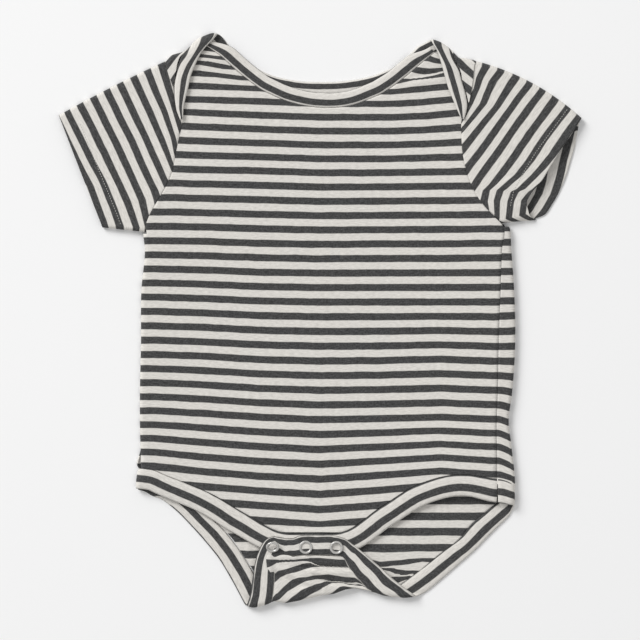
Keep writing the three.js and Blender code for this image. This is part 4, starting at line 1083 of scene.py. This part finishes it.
# %% Bindings: the neck
FRONT_NECK_LIFT = 0.3
front_neck_path = np.concatenate([
    front_grid[YOKE_ROW + 1 :, STRAP_COLUMNS][::-1],
    front_grid[YOKE_ROW, STRAP_COLUMNS : STRAP_COLUMNS + NECK_COLUMNS + 1],
    front_grid[YOKE_ROW + 1 :, STRAP_COLUMNS + NECK_COLUMNS],
])
front_neck_path = smooth_path(front_neck_path, PATH_STEP, 5)
front_neck_run = lengths(front_neck_path[:, :2])
to_end = np.minimum(front_neck_run, front_neck_run[-1] - front_neck_run)
front_neck_width = NECK_BINDING_WIDTH * (0.5 + 0.5 * smoothstep(to_end, 0, 17))
front_neck_outer = beside(front_neck_path, BINDING_SEAM + front_neck_width)
front_neck_rows = strip_between(beside(front_neck_path, BINDING_SEAM), front_neck_outer)
front_neck_rows[..., 2] += FRONT_NECK_LIFT
front_neck = binding_mesh("front_neck_band", front_neck_rows, (-0.385, 0.77), (1.9, 0.77))

LIFT_UNDER = 0.4
LIFT_OVER = -0.35
BAND_STEP = 1.0


def shoulder_band(corner, along, bulge, under, over):
    path = strap_path(under, over, BAND_STEP)
    share = np.linspace(0, 1, ACROSS + 1)
    position = path[:, 2:3] * (1 - share) + path[:, 3:4] * share
    distance = np.repeat(path[:, :1], ACROSS + 1, axis=1)
    lift = LIFT_UNDER + (LIFT_OVER - LIFT_UNDER) * np.clip(distance / SHOULDER_ARC, 0, 1)
    foot, _, outward = strap_flat(corner, along, bulge, distance, position)
    return folded(foot, outward, SHOULDER_ROLL, distance, lift)


neck_edge = back_flat[-1][STRAP_COLUMNS + 3 : STRAP_COLUMNS + NECK_COLUMNS - 2]
back_neck_path = smooth_path(neck_edge, PATH_STEP, 4)
back_neck_outer = beside(back_neck_path, BINDING_SEAM + NECK_BINDING_WIDTH)
back_neck_middle = strip_between(beside(back_neck_path, BINDING_SEAM), back_neck_outer)
neck_height = np.full(back_neck_middle.shape[:2] + (1,), BACK_MIDDLE + LIFT_UNDER)
back_neck_middle = np.concatenate([back_neck_middle, neck_height], axis=2)
left_band = shoulder_band(*LEFT_STRAP)
right_band = shoulder_band(*RIGHT_STRAP)
back_neck_rows = np.concatenate([left_band[::-1], back_neck_middle, right_band])


def soften_rows(rows, reach):
    """Evens a strip along its length, so that joined tables run on smoothly."""
    weights = np.hanning(2 * reach + 3)[1:-1]
    weights /= weights.sum()
    padded = np.concatenate([rows[:1]] * reach + [rows] + [rows[-1:]] * reach)
    return sum(weight * padded[k : k + len(rows)] for k, weight in enumerate(weights))


back_neck_rows = soften_rows(back_neck_rows, 2)


def fold_place(under, over):
    """Which row of a shoulder band lies at the end of its fold."""
    return np.argmin(np.abs(strap_path(under, over, BAND_STEP)[:, 0] - SHOULDER_ARC))


def swell(stations, middle, width):
    """1 at the middle station, fading smoothly to 0 on both sides."""
    return np.exp(-(((stations - middle) / width) ** 2))


left_fold_at = len(left_band) - 1 - fold_place(LEFT_UNDER, LEFT_OVER)
right_fold_at = len(left_band) + len(back_neck_middle) + fold_place(RIGHT_UNDER, RIGHT_OVER)
stations = np.arange(len(back_neck_rows))
near_fold = np.maximum(swell(stations, left_fold_at, 6), swell(stations, right_fold_at, 6))
past_left_fold = swell(stations, left_fold_at + 8, 10)
neck_over = (0.9, -0.4 + 0.15 * past_left_fold)
neck_under = (-1.75 - 0.25 * near_fold, -0.43 - 0.25 * near_fold)
back_neck = binding_mesh("back_neck_band", back_neck_rows, neck_over, neck_under)

# %% [markdown]
# ## The front leg binding
# It follows the whole lower edge of the front, under the flap too, and its width changes by about 2 mm.

# %% Bindings: the front legs
LEG_EDGE_LIFT = 0.1
LEG_END_REACH = 0.9
LEG_BAND_COUNT = 1.45
FRONT_LEG_START = [(-122.5, -97, 4.9), (-120.7, -97, 4.9), (-118.6, -97, 4.9)]
FRONT_LEG_WIDTHS = [
    (0, 13.3), (25, 13.6), (45, 14), (75, 15), (110, 14.6), (150, 14.1), (245, 14.1), (258, 15.3),
]
front_leg_end = front_grid[0, -1:] + [LEG_END_REACH, 0, 0]
front_leg_line = np.concatenate([np.array(FRONT_LEG_START), front_grid[0], front_leg_end])
front_leg_path = smooth_path(front_leg_line, PATH_STEP, 3)
front_leg_run = lengths(front_leg_path[:, :2])
front_leg_width = np.interp(front_leg_run, *np.array(FRONT_LEG_WIDTHS).T)
front_leg_outer = beside(front_leg_path, -BINDING_SEAM - front_leg_width)
front_leg_flat = strip_between(beside(front_leg_path, -BINDING_SEAM), front_leg_outer)


def place_front_leg(flat):
    """The front leg binding follows the front, and its end goes round the left side."""
    bend = bend_at(LEFT_BEND, flat[..., 1])
    past = np.maximum(bend - flat[..., 0], 0)
    turn = past / SIDE_ROLL
    x = np.where(past > 0, bend - SIDE_ROLL * np.sin(turn), flat[..., 0])
    z = np.where(past > 0, flat[..., 2] - SIDE_ROLL * (1 - np.cos(turn)), flat[..., 2] + LEG_EDGE_LIFT)
    return np.stack([x, flat[..., 1], z], -1)


front_leg_seam = np.interp(front_leg_run, (0, 25, 55, 100), (-0.7, -0.74, -0.8, -0.86))
front_leg_edge = front_leg_seam + LEG_BAND_COUNT
front_leg_back = front_leg_edge + LEG_BAND_COUNT
front_leg = binding_mesh(
    "front_leg_band", place_front_leg(front_leg_flat),
    (front_leg_seam, front_leg_edge), (front_leg_back, front_leg_edge),
)

# %% [markdown]
# ## The back leg binding
# It runs down the left leg, round the folded-up flap, up the right leg and over the right side fold.
# Round the flap its two edges are given point by point, because its width changes all the time.

# %% Bindings: the back legs
BINDING_LIFT = 0.4
CROTCH_LIFT_OVER = -0.4
FLAP_BAND = [
    (-31.4, -186.8, -47.9, -187.1), (-30.2, -178.5, -45.3, -178.9), (-29.6, -172.6, -44.4, -171.6),
    (-29.5, -167, -43.6, -165.7), (-29.2, -162.4, -42.6, -159.7), (-28.4, -158.4, -41.2, -154.4),
    (-26.7, -155.8, -38.9, -148.8), (-24.4, -154.6, -36.1, -144.2), (-21.4, -154.4, -32, -142.2),
    (-18.8, -154.6, -23.7, -142.6), (-16.2, -155, -17.8, -143.2), (-12.9, -154.7, -13.5, -141.3),
    (-8.9, -154.3, -8.9, -140.8), (-0.3, -154.6, -0.1, -141), (5, -154.3, 6.9, -140.8),
    (10.2, -154.6, 11.9, -141.6), (14.9, -155.4, 17.6, -143.7), (17.2, -158.4, 22.8, -147.8),
    (19.1, -162.4, 28.1, -151.8), (23.4, -168, 34.6, -157.4), (28.1, -172.9, 41.2, -163),
    (32, -176.9, 47.9, -169.3), (36.6, -178.9, 55.8, -175.6), (41.2, -180.2, 64.4, -181.5),
]


def paired_side(pairs, step=1.0):
    """Evens out a binding given by pairs of points, on its seam and on its free edge."""
    pairs = np.array(pairs)
    run = (lengths(pairs[:, :2]) + lengths(pairs[:, 2:])) / 2
    count = int(round(run[-1] / step))
    return spline(run, pairs, np.linspace(0, run[-1], count + 1)).reshape(-1, 2, 2)


LEFT_LEG_BAND = [
    (-120.4, -98.6, -120.4, -111.2), (-115.1, -98.5, -116.2, -112.1), (-107.2, -102.2, -110.6, -115.2),
    (-98.7, -107.1, -105, -117.1), (-91.4, -111.5, -99.1, -121.2), (-85.1, -117.1, -93.9, -125.6),
    (-73.6, -127.8, -83.8, -136), (-62.7, -138.4, -75, -145.9), (-53.8, -149.8, -66.1, -157.1),
    (-47.5, -159.6, -60.3, -166.6), (-41.6, -170.3, -54.4, -177.2), (-38.7, -177.5, -50.8, -184.1),
]
RIGHT_LEG_BAND = [
    (50.8, -176.5, 61.7, -184.1), (60.7, -169, 71.6, -177.7), (71, -161, 81.6, -169.5),
    (81.5, -152, 92.3, -160.2), (93.4, -142.8, 103.3, -150.5), (100.3, -134.4, 110.8, -142.8),
    (108.6, -127.2, 118.6, -135), (115.8, -120.9, 123.1, -130.7), (121.1, -116.6, 125.4, -128.4),
]
side_leg = np.concatenate([back_flat[LEG_TOP_ROW - 1 : LEG_TOP_ROW + 1, -1], side_flat[LEG_TOP_ROW]])
flap_band = paired_side(FLAP_BAND)
flap_band[..., 1] = 2 * crotch_bend(flap_band[..., 0]) - CROTCH_ARC - flap_band[..., 1]
side_depth = np.interp(np.linspace(0, 1, len(side_leg)), SIDE_LEG_PLACES, SIDE_LEG_WIDTHS)
side_band = np.stack([side_leg, side_leg - np.stack([0 * side_depth, side_depth], -1)], 1)
leg_parts = [paired_side(LEFT_LEG_BAND), flap_band, paired_side(RIGHT_LEG_BAND), side_band]
back_leg_edges = np.concatenate(leg_parts)
back_leg_flat = soften_rows(strip_between(back_leg_edges[:, 0], back_leg_edges[:, 1]), 2)
past_crotch = np.clip((crotch_bend(back_leg_flat[..., 0]) - back_leg_flat[..., 1]) / CROTCH_ARC, 0, 1)
side_fold = bend_at(RIGHT_BEND, back_leg_flat[..., 1])
past_side = np.clip((back_leg_flat[..., 0] - side_fold) / (math.pi * SIDE_ROLL), 0, 1)
past_fold = np.maximum(past_crotch, past_side)
back_leg_rows = place_back(back_leg_flat, BINDING_LIFT + (CROTCH_LIFT_OVER - BINDING_LIFT) * past_fold)
part_ends = np.cumsum([0] + [len(part) for part in leg_parts])
leg_stations = np.arange(len(back_leg_rows))
leg_keys = [0, 14, 30, part_ends[1], part_ends[2], part_ends[3], part_ends[4]]
under_keys = part_ends[[0, 2, 3, 4]]
seam_counts = np.interp(leg_stations, leg_keys, [-1.3, -1.25, -0.68, -0.7, -0.71, -0.93, -0.86])
edge_counts = np.interp(leg_stations, leg_keys, [0.2, 0.25, 0.84, 0.83, 0.7, 0.44, 0.16])
under_seam = np.interp(leg_stations, under_keys, [2.3, 2.3, 1.74, 1.87])
# Where the flap is folded up, the binding's underside faces up. Its edge count of 0.61 puts a thin light stripe
# along the free edge. That stripe is the jersey's own light colour, placed there as a painted highlight on the
# rolled edge.
under_edge = np.interp(leg_stations, under_keys, [0.61, 0.61, 0.44, 0.16])
back_leg = binding_mesh("back_leg_band", back_leg_rows, (seam_counts, edge_counts), (under_seam, under_edge))

# %% [markdown]
# ## The snaps
# Three ring snaps hold the crotch flap. They are pressed into its binding, with a smooth rim and a small
# hollow.

# %% Snaps
SNAP_CENTRES = [(-30.8, -148.4), (-9.1, -148.9), (11.1, -149)]
SNAP_BASE = 5.75
SNAP_PROFILE = [
    (2.75, 0), (4.4, 0), (4.45, 0.35), (4.35, 0.75), (4.1, 1.05), (3.7, 1.15), (3.3, 1.02), (3, 0.7),
    (2.85, 0.35), (2.75, 0.15),
]
SNAP_STEPS = 72
SNAP_TILTS = (40, 0, 12)
SNAP_SINK = 0.55


def snap_mesh(name, centre, tilt):
    """A ring snap, turned by the tilt about its own left-to-right line."""
    turn = 2 * np.pi * np.arange(SNAP_STEPS) / SNAP_STEPS
    profile = np.array(SNAP_PROFILE)
    x = centre[0] + profile[:, 0] * np.cos(turn)[:, None]
    y_own = profile[:, 0] * np.sin(turn)[:, None]
    z_own = np.broadcast_to(profile[:, 1], x.shape)
    lean = math.radians(tilt)
    y = centre[1] + y_own * math.cos(lean) - z_own * math.sin(lean)
    z = SNAP_BASE + z_own * math.cos(lean) + (y_own + profile[:, 0].max()) * math.sin(lean) * SNAP_SINK
    points = np.stack([x, y, z], -1) * MM
    count = len(profile)
    faces = []
    for k in range(SNAP_STEPS):
        m = (k + 1) % SNAP_STEPS
        for p in range(count):
            q = (p + 1) % count
            faces.append([k * count + p, m * count + p, m * count + q, k * count + q])
    mesh = bpy.data.meshes.new(name)
    mesh.from_pydata(points.reshape(-1, 3).tolist(), [], faces)
    mesh.shade_smooth()
    piece = bpy.data.objects.new(name, mesh)
    scene.collection.objects.link(piece)
    return piece


SNAP_NAMES = ("left_snap_ring", "middle_snap_ring", "right_snap_ring")
snaps = [snap_mesh(*values) for values in zip(SNAP_NAMES, SNAP_CENTRES, SNAP_TILTS)]
print("snaps:", len(snaps))

# %% [markdown]
# ## Materials
# One node group makes the striped jersey. It reads the place on the flat cut, so the stripes follow every
# fold.

# %% Node helpers
def new_group(name, inputs, outputs):
    group = bpy.data.node_groups.new(name, "ShaderNodeTree")
    for title, kind, value in inputs:
        socket = group.interface.new_socket(title, in_out="INPUT", socket_type=kind)
        socket.default_value = value
    for title, kind in outputs:
        group.interface.new_socket(title, in_out="OUTPUT", socket_type=kind)
    return group, group.nodes.new("NodeGroupInput"), group.nodes.new("NodeGroupOutput")


def maths(group, operation, first, second=None, clamp=False):
    """A maths node. first and second are sockets or numbers."""
    node = group.nodes.new("ShaderNodeMath")
    node.operation = operation
    node.use_clamp = clamp
    for slot, value in zip(node.inputs, (first, second)):
        if isinstance(value, bpy.types.NodeSocket):
            group.links.new(value, slot)
        elif value is not None:
            slot.default_value = value
    return node.outputs[0]


def mix_colour(group, share, first, second):
    node = group.nodes.new("ShaderNodeMix")
    node.data_type = "RGBA"
    for slot, value in ((node.inputs[0], share), (node.inputs[6], first), (node.inputs[7], second)):
        if isinstance(value, bpy.types.NodeSocket):
            group.links.new(value, slot)
        else:
            slot.default_value = value
    return node.outputs[2]


def noise(group, place, scale, detail=2.0):
    node = group.nodes.new("ShaderNodeTexNoise")
    node.inputs["Scale"].default_value = scale
    node.inputs["Detail"].default_value = detail
    group.links.new(place, node.inputs["Vector"])
    return node.outputs["Fac"]


print("node helpers: new_group, maths, mix_colour, noise")

# %% [markdown]
# ## Striped jersey
# The count of stripes at a point says how far it is from the middle of a dark stripe. A steep ramp makes
# a clean edge, and fine noise gives the mixed yarn. The knit's ribs are height for a bump, far too small
# to model.

# %% Striped jersey
ECRU = (0.69, 0.665, 0.623, 1)
CHARCOAL = (0.0385, 0.0385, 0.0385, 1)
DARK_SHARE = 0.5
WALE_SPACING = 0.0008
COURSE_SPACING = 0.0006

jersey, jersey_in, jersey_out = new_group(
    "Striped jersey",
    [("Dark share", "NodeSocketFloat", DARK_SHARE)],
    [("Colour", "NodeSocketColor"), ("Roughness", "NodeSocketFloat"), ("Height", "NodeSocketFloat")],
)
cut_map = jersey.nodes.new("ShaderNodeUVMap")
cut_map.uv_map = "Cut"
split = jersey.nodes.new("ShaderNodeSeparateXYZ")
jersey.links.new(cut_map.outputs[0], split.inputs[0])
along_cut, across_cut = split.outputs[0], split.outputs[1]
uneven = maths(jersey, "SUBTRACT", noise(jersey, cut_map.outputs[0], 90), 0.5)
wobble = maths(jersey, "MULTIPLY", uneven, 0.08)
count_here = maths(jersey, "ADD", maths(jersey, "DIVIDE", across_cut, STRIPE_PITCH), wobble)
within_stripe = maths(jersey, "FRACT", maths(jersey, "ADD", count_here, 0.5))
from_stripe = maths(jersey, "ABSOLUTE", maths(jersey, "SUBTRACT", within_stripe, 0.5))
edge = maths(jersey, "SUBTRACT", maths(jersey, "MULTIPLY", jersey_in.outputs[0], 0.5), from_stripe)
dark = maths(jersey, "MULTIPLY_ADD", edge, 22.0, clamp=True)
dark.node.inputs[2].default_value = 0.5
heather = noise(jersey, cut_map.outputs[0], 900, 3.0)
stretched = jersey.nodes.new("ShaderNodeMapping")
stretched.inputs["Scale"].default_value = (300, 1400, 1)
jersey.links.new(cut_map.outputs[0], stretched.inputs["Vector"])
yarn = noise(jersey, stretched.outputs[0], 1.0, 2.0)


def shade(colour, amount):
    return tuple(amount * part for part in colour[:3]) + (1,)


light_colour = mix_colour(jersey, yarn, shade(ECRU, 0.7), shade(ECRU, 1.3))
mixed_yarn = maths(jersey, "MULTIPLY", heather, yarn)
dark_colour = mix_colour(jersey, mixed_yarn, shade(CHARCOAL, 0.1), shade(CHARCOAL, 5.4))
jersey.links.new(mix_colour(jersey, dark, light_colour, dark_colour), jersey_out.inputs["Colour"])
rough = maths(jersey, "ADD", maths(jersey, "MULTIPLY", heather, 0.1), 0.82)
jersey.links.new(rough, jersey_out.inputs["Roughness"])
wale = maths(jersey, "SINE", maths(jersey, "MULTIPLY", along_cut, 2 * math.pi / WALE_SPACING))
course = maths(jersey, "SINE", maths(jersey, "MULTIPLY", across_cut, 2 * math.pi / COURSE_SPACING))
knit = maths(jersey, "ADD", maths(jersey, "MULTIPLY", maths(jersey, "ADD", wale, course), 0.25), heather)
jersey.links.new(knit, jersey_out.inputs["Height"])
print("node group:", jersey.name, len(jersey.nodes), "nodes")

# %% [markdown]
# ## Materials and the place of each piece
# Jersey is matt with a faint sheen. The snaps have a pearly, slightly metallic finish. Each piece then
# hides the solid it stands for and takes its place in the frame.

# %% Materials
def new_material(name):
    material = bpy.data.materials.new(name)
    material.use_nodes = True
    return material, material.node_tree, material.node_tree.nodes["Principled BSDF"]


def cloth_material(name, bump):
    material, tree, shader = new_material(name)
    pattern = tree.nodes.new("ShaderNodeGroup")
    pattern.node_tree = jersey
    tree.links.new(pattern.outputs["Colour"], shader.inputs["Base Color"])
    tree.links.new(pattern.outputs["Roughness"], shader.inputs["Roughness"])
    relief = tree.nodes.new("ShaderNodeBump")
    relief.inputs["Strength"].default_value = bump
    relief.inputs["Distance"].default_value = 0.0002
    tree.links.new(pattern.outputs["Height"], relief.inputs["Height"])
    tree.links.new(relief.outputs["Normal"], shader.inputs["Normal"])
    shader.inputs["Sheen Weight"].default_value = 0.08
    shader.inputs["Sheen Roughness"].default_value = 0.6
    shader.inputs["Specular IOR Level"].default_value = 0.2
    return material


body_cloth = cloth_material("Jersey", 0.35)
binding_cloth = cloth_material("Jersey binding", 0.35)
thread, _, thread_shader = new_material("Hem thread")
thread_shader.inputs["Base Color"].default_value = (0.5, 0.49, 0.46, 1)
thread_shader.inputs["Roughness"].default_value = 0.8
pearl, _, pearl_shader = new_material("Pearl ring")
pearl_shader.inputs["Base Color"].default_value = (0.5, 0.49, 0.47, 1)
pearl_shader.inputs["Metallic"].default_value = 0.25
pearl_shader.inputs["Roughness"].default_value = 0.25

panels = ((front, "front_panel"), (back, "back_panel"))
panels += ((left_sleeve, "left_sleeve"), (right_sleeve, "right_sleeve"))
bindings = ((front_neck, "front_neck_binding"), (back_neck, "back_neck_binding"))
bindings += ((front_leg, "front_leg_binding"), (back_leg, "back_leg_binding"))
for piece, node in panels:
    finish_piece(piece, node, body_cloth)
for piece, node in bindings:
    finish_piece(piece, node, binding_cloth)
for piece, node in zip(snaps, ("snap_left", "snap_middle", "snap_right")):
    finish_piece(piece, node, pearl)

# %% [markdown]
# ## Hem stitches
# A row of short stitches holds each sleeve's hem. The rows run parallel to the cuffs, while the stripes
# lie a few degrees off them. The thread is as light as the light stripes, so it shows on the dark ones
# only.

# %% Stitches
STITCH_PITCH = 1.75
STITCH_LENGTH = 0.55
STITCH_RADIUS = 0.2
STITCH_SIDES = 8
STITCH_RINGS = ((-1, 0.25), (-0.6, 0.85), (0, 1), (0.6, 0.85), (1, 0.25))
LEFT_HEM = [(-157.7, 130), (-145.9, 100.6), (-137.9, 81.5), (-130.7, 63)]
RIGHT_HEM = [(163.3, 139.6), (153.5, 126.1), (142.5, 111.2), (135, 99), (127.7, 85.3), (125.5, 74.9)]


def stitch_row(name, cloth, path):
    """Short rounded stitches laid on the cloth along a path."""
    path = np.array(path)
    run = lengths(path)
    at = np.arange(STITCH_PITCH / 2, run[-1], STITCH_PITCH)
    places = np.column_stack([np.interp(at, run, path[:, 0]), np.interp(at, run, path[:, 1])])
    heading = np.gradient(places, axis=0)
    heading /= np.linalg.norm(heading, axis=1, keepdims=True)
    graph = bpy.context.evaluated_depsgraph_get()
    turn = 2 * np.pi * np.arange(STITCH_SIDES) / STITCH_SIDES
    points, faces = [], []
    for place, way in zip(places, heading):
        found, hit, _, _ = cloth.ray_cast((*(place * MM), 1), (0, 0, -1), depsgraph=graph)
        if not found:
            continue
        first = len(points)
        for along, size in STITCH_RINGS:
            side = STITCH_RADIUS * size * np.cos(turn)
            rise = STITCH_RADIUS * size * np.sin(turn)
            x = place[0] + way[0] * along * STITCH_LENGTH - way[1] * side
            y = place[1] + way[1] * along * STITCH_LENGTH + way[0] * side
            points += np.stack([x * MM, y * MM, hit.z + rise * MM], -1).tolist()
        for k in range(len(STITCH_RINGS) - 1):
            for m in range(STITCH_SIDES):
                n = (m + 1) % STITCH_SIDES
                low, high = first + k * STITCH_SIDES, first + (k + 1) * STITCH_SIDES
                faces.append([low + m, low + n, high + n, high + m])
        faces.append([first + m for m in range(STITCH_SIDES)][::-1])
        faces.append([first + (len(STITCH_RINGS) - 1) * STITCH_SIDES + m for m in range(STITCH_SIDES)])
    mesh = bpy.data.meshes.new(name)
    mesh.from_pydata(points, [], faces)
    mesh.shade_smooth()
    stitches = bpy.data.objects.new(name, mesh)
    scene.collection.objects.link(stitches)
    stitches.data.materials.append(thread)
    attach(stitches, "root")
    print(f"{name}: {count_triangles(stitches)} triangles")
    return stitches


left_hem = stitch_row("left_hem_stitches", left_sleeve, LEFT_HEM)
right_hem = stitch_row("right_hem_stitches", right_sleeve, RIGHT_HEM)

# %% [markdown]
# ## Table and light
# The photograph has a plain white ground and soft light. A big soft box from the upper left gives the
# faint shadows to the right, and a weaker lamp fills them.

# %% Table and light
bpy.ops.mesh.primitive_plane_add(size=6)
table = bpy.context.active_object
table.name = "table_top"
table_paper, _, table_shader = new_material("White table")
table_shader.inputs["Base Color"].default_value = (0.9, 0.9, 0.9, 1)
table_shader.inputs["Roughness"].default_value = 0.9
table.data.materials.append(table_paper)

world = bpy.data.worlds.new("Soft room")
scene.world = world
world.use_nodes = True
background = world.node_tree.nodes["Background"]
background.inputs["Color"].default_value = (1, 1, 1, 1)
background.inputs["Strength"].default_value = 0.42


def area_light(name, place, size, watts):
    """A square lamp that is turned toward the garment."""
    data = bpy.data.lights.new(name, "AREA")
    data.size = size
    data.energy = watts
    lamp = bpy.data.objects.new(name, data)
    lamp.location = place
    scene.collection.objects.link(lamp)
    lamp.rotation_euler = (-Vector(place)).to_track_quat("-Z", "Y").to_euler()
    return lamp


key = area_light("Soft box", (-3.6, 3.6, 3.5), 3.0, 330)
fill = area_light("Fill", (2.2, -1.6, 5.0), 3.0, 45)
scene.view_settings.view_transform = "Standard"
print("lights:", key.name, fill.name)

# %% [markdown]
# ## Camera
# The photograph looks straight down. A long lens from two metres up keeps the outline nearly free of perspective.

# %% Camera straight above, as in the photograph
SENSOR_WIDTH = 36
CAMERA_HEIGHT = 2.0
PHOTO_WIDTH = 0.4224
camera_data = bpy.data.cameras.new("Camera")
camera_data.sensor_width = SENSOR_WIDTH
camera_data.lens = SENSOR_WIDTH * CAMERA_HEIGHT / PHOTO_WIDTH
camera = bpy.data.objects.new("Camera", camera_data)
camera.location = (0.00033, 0.00066, CAMERA_HEIGHT)
scene.collection.objects.link(camera)
scene.camera = camera
print("lens:", round(camera_data.lens, 1), "mm")

# %% [markdown]
# ## The end

# %% End of the scene
print("scene built")
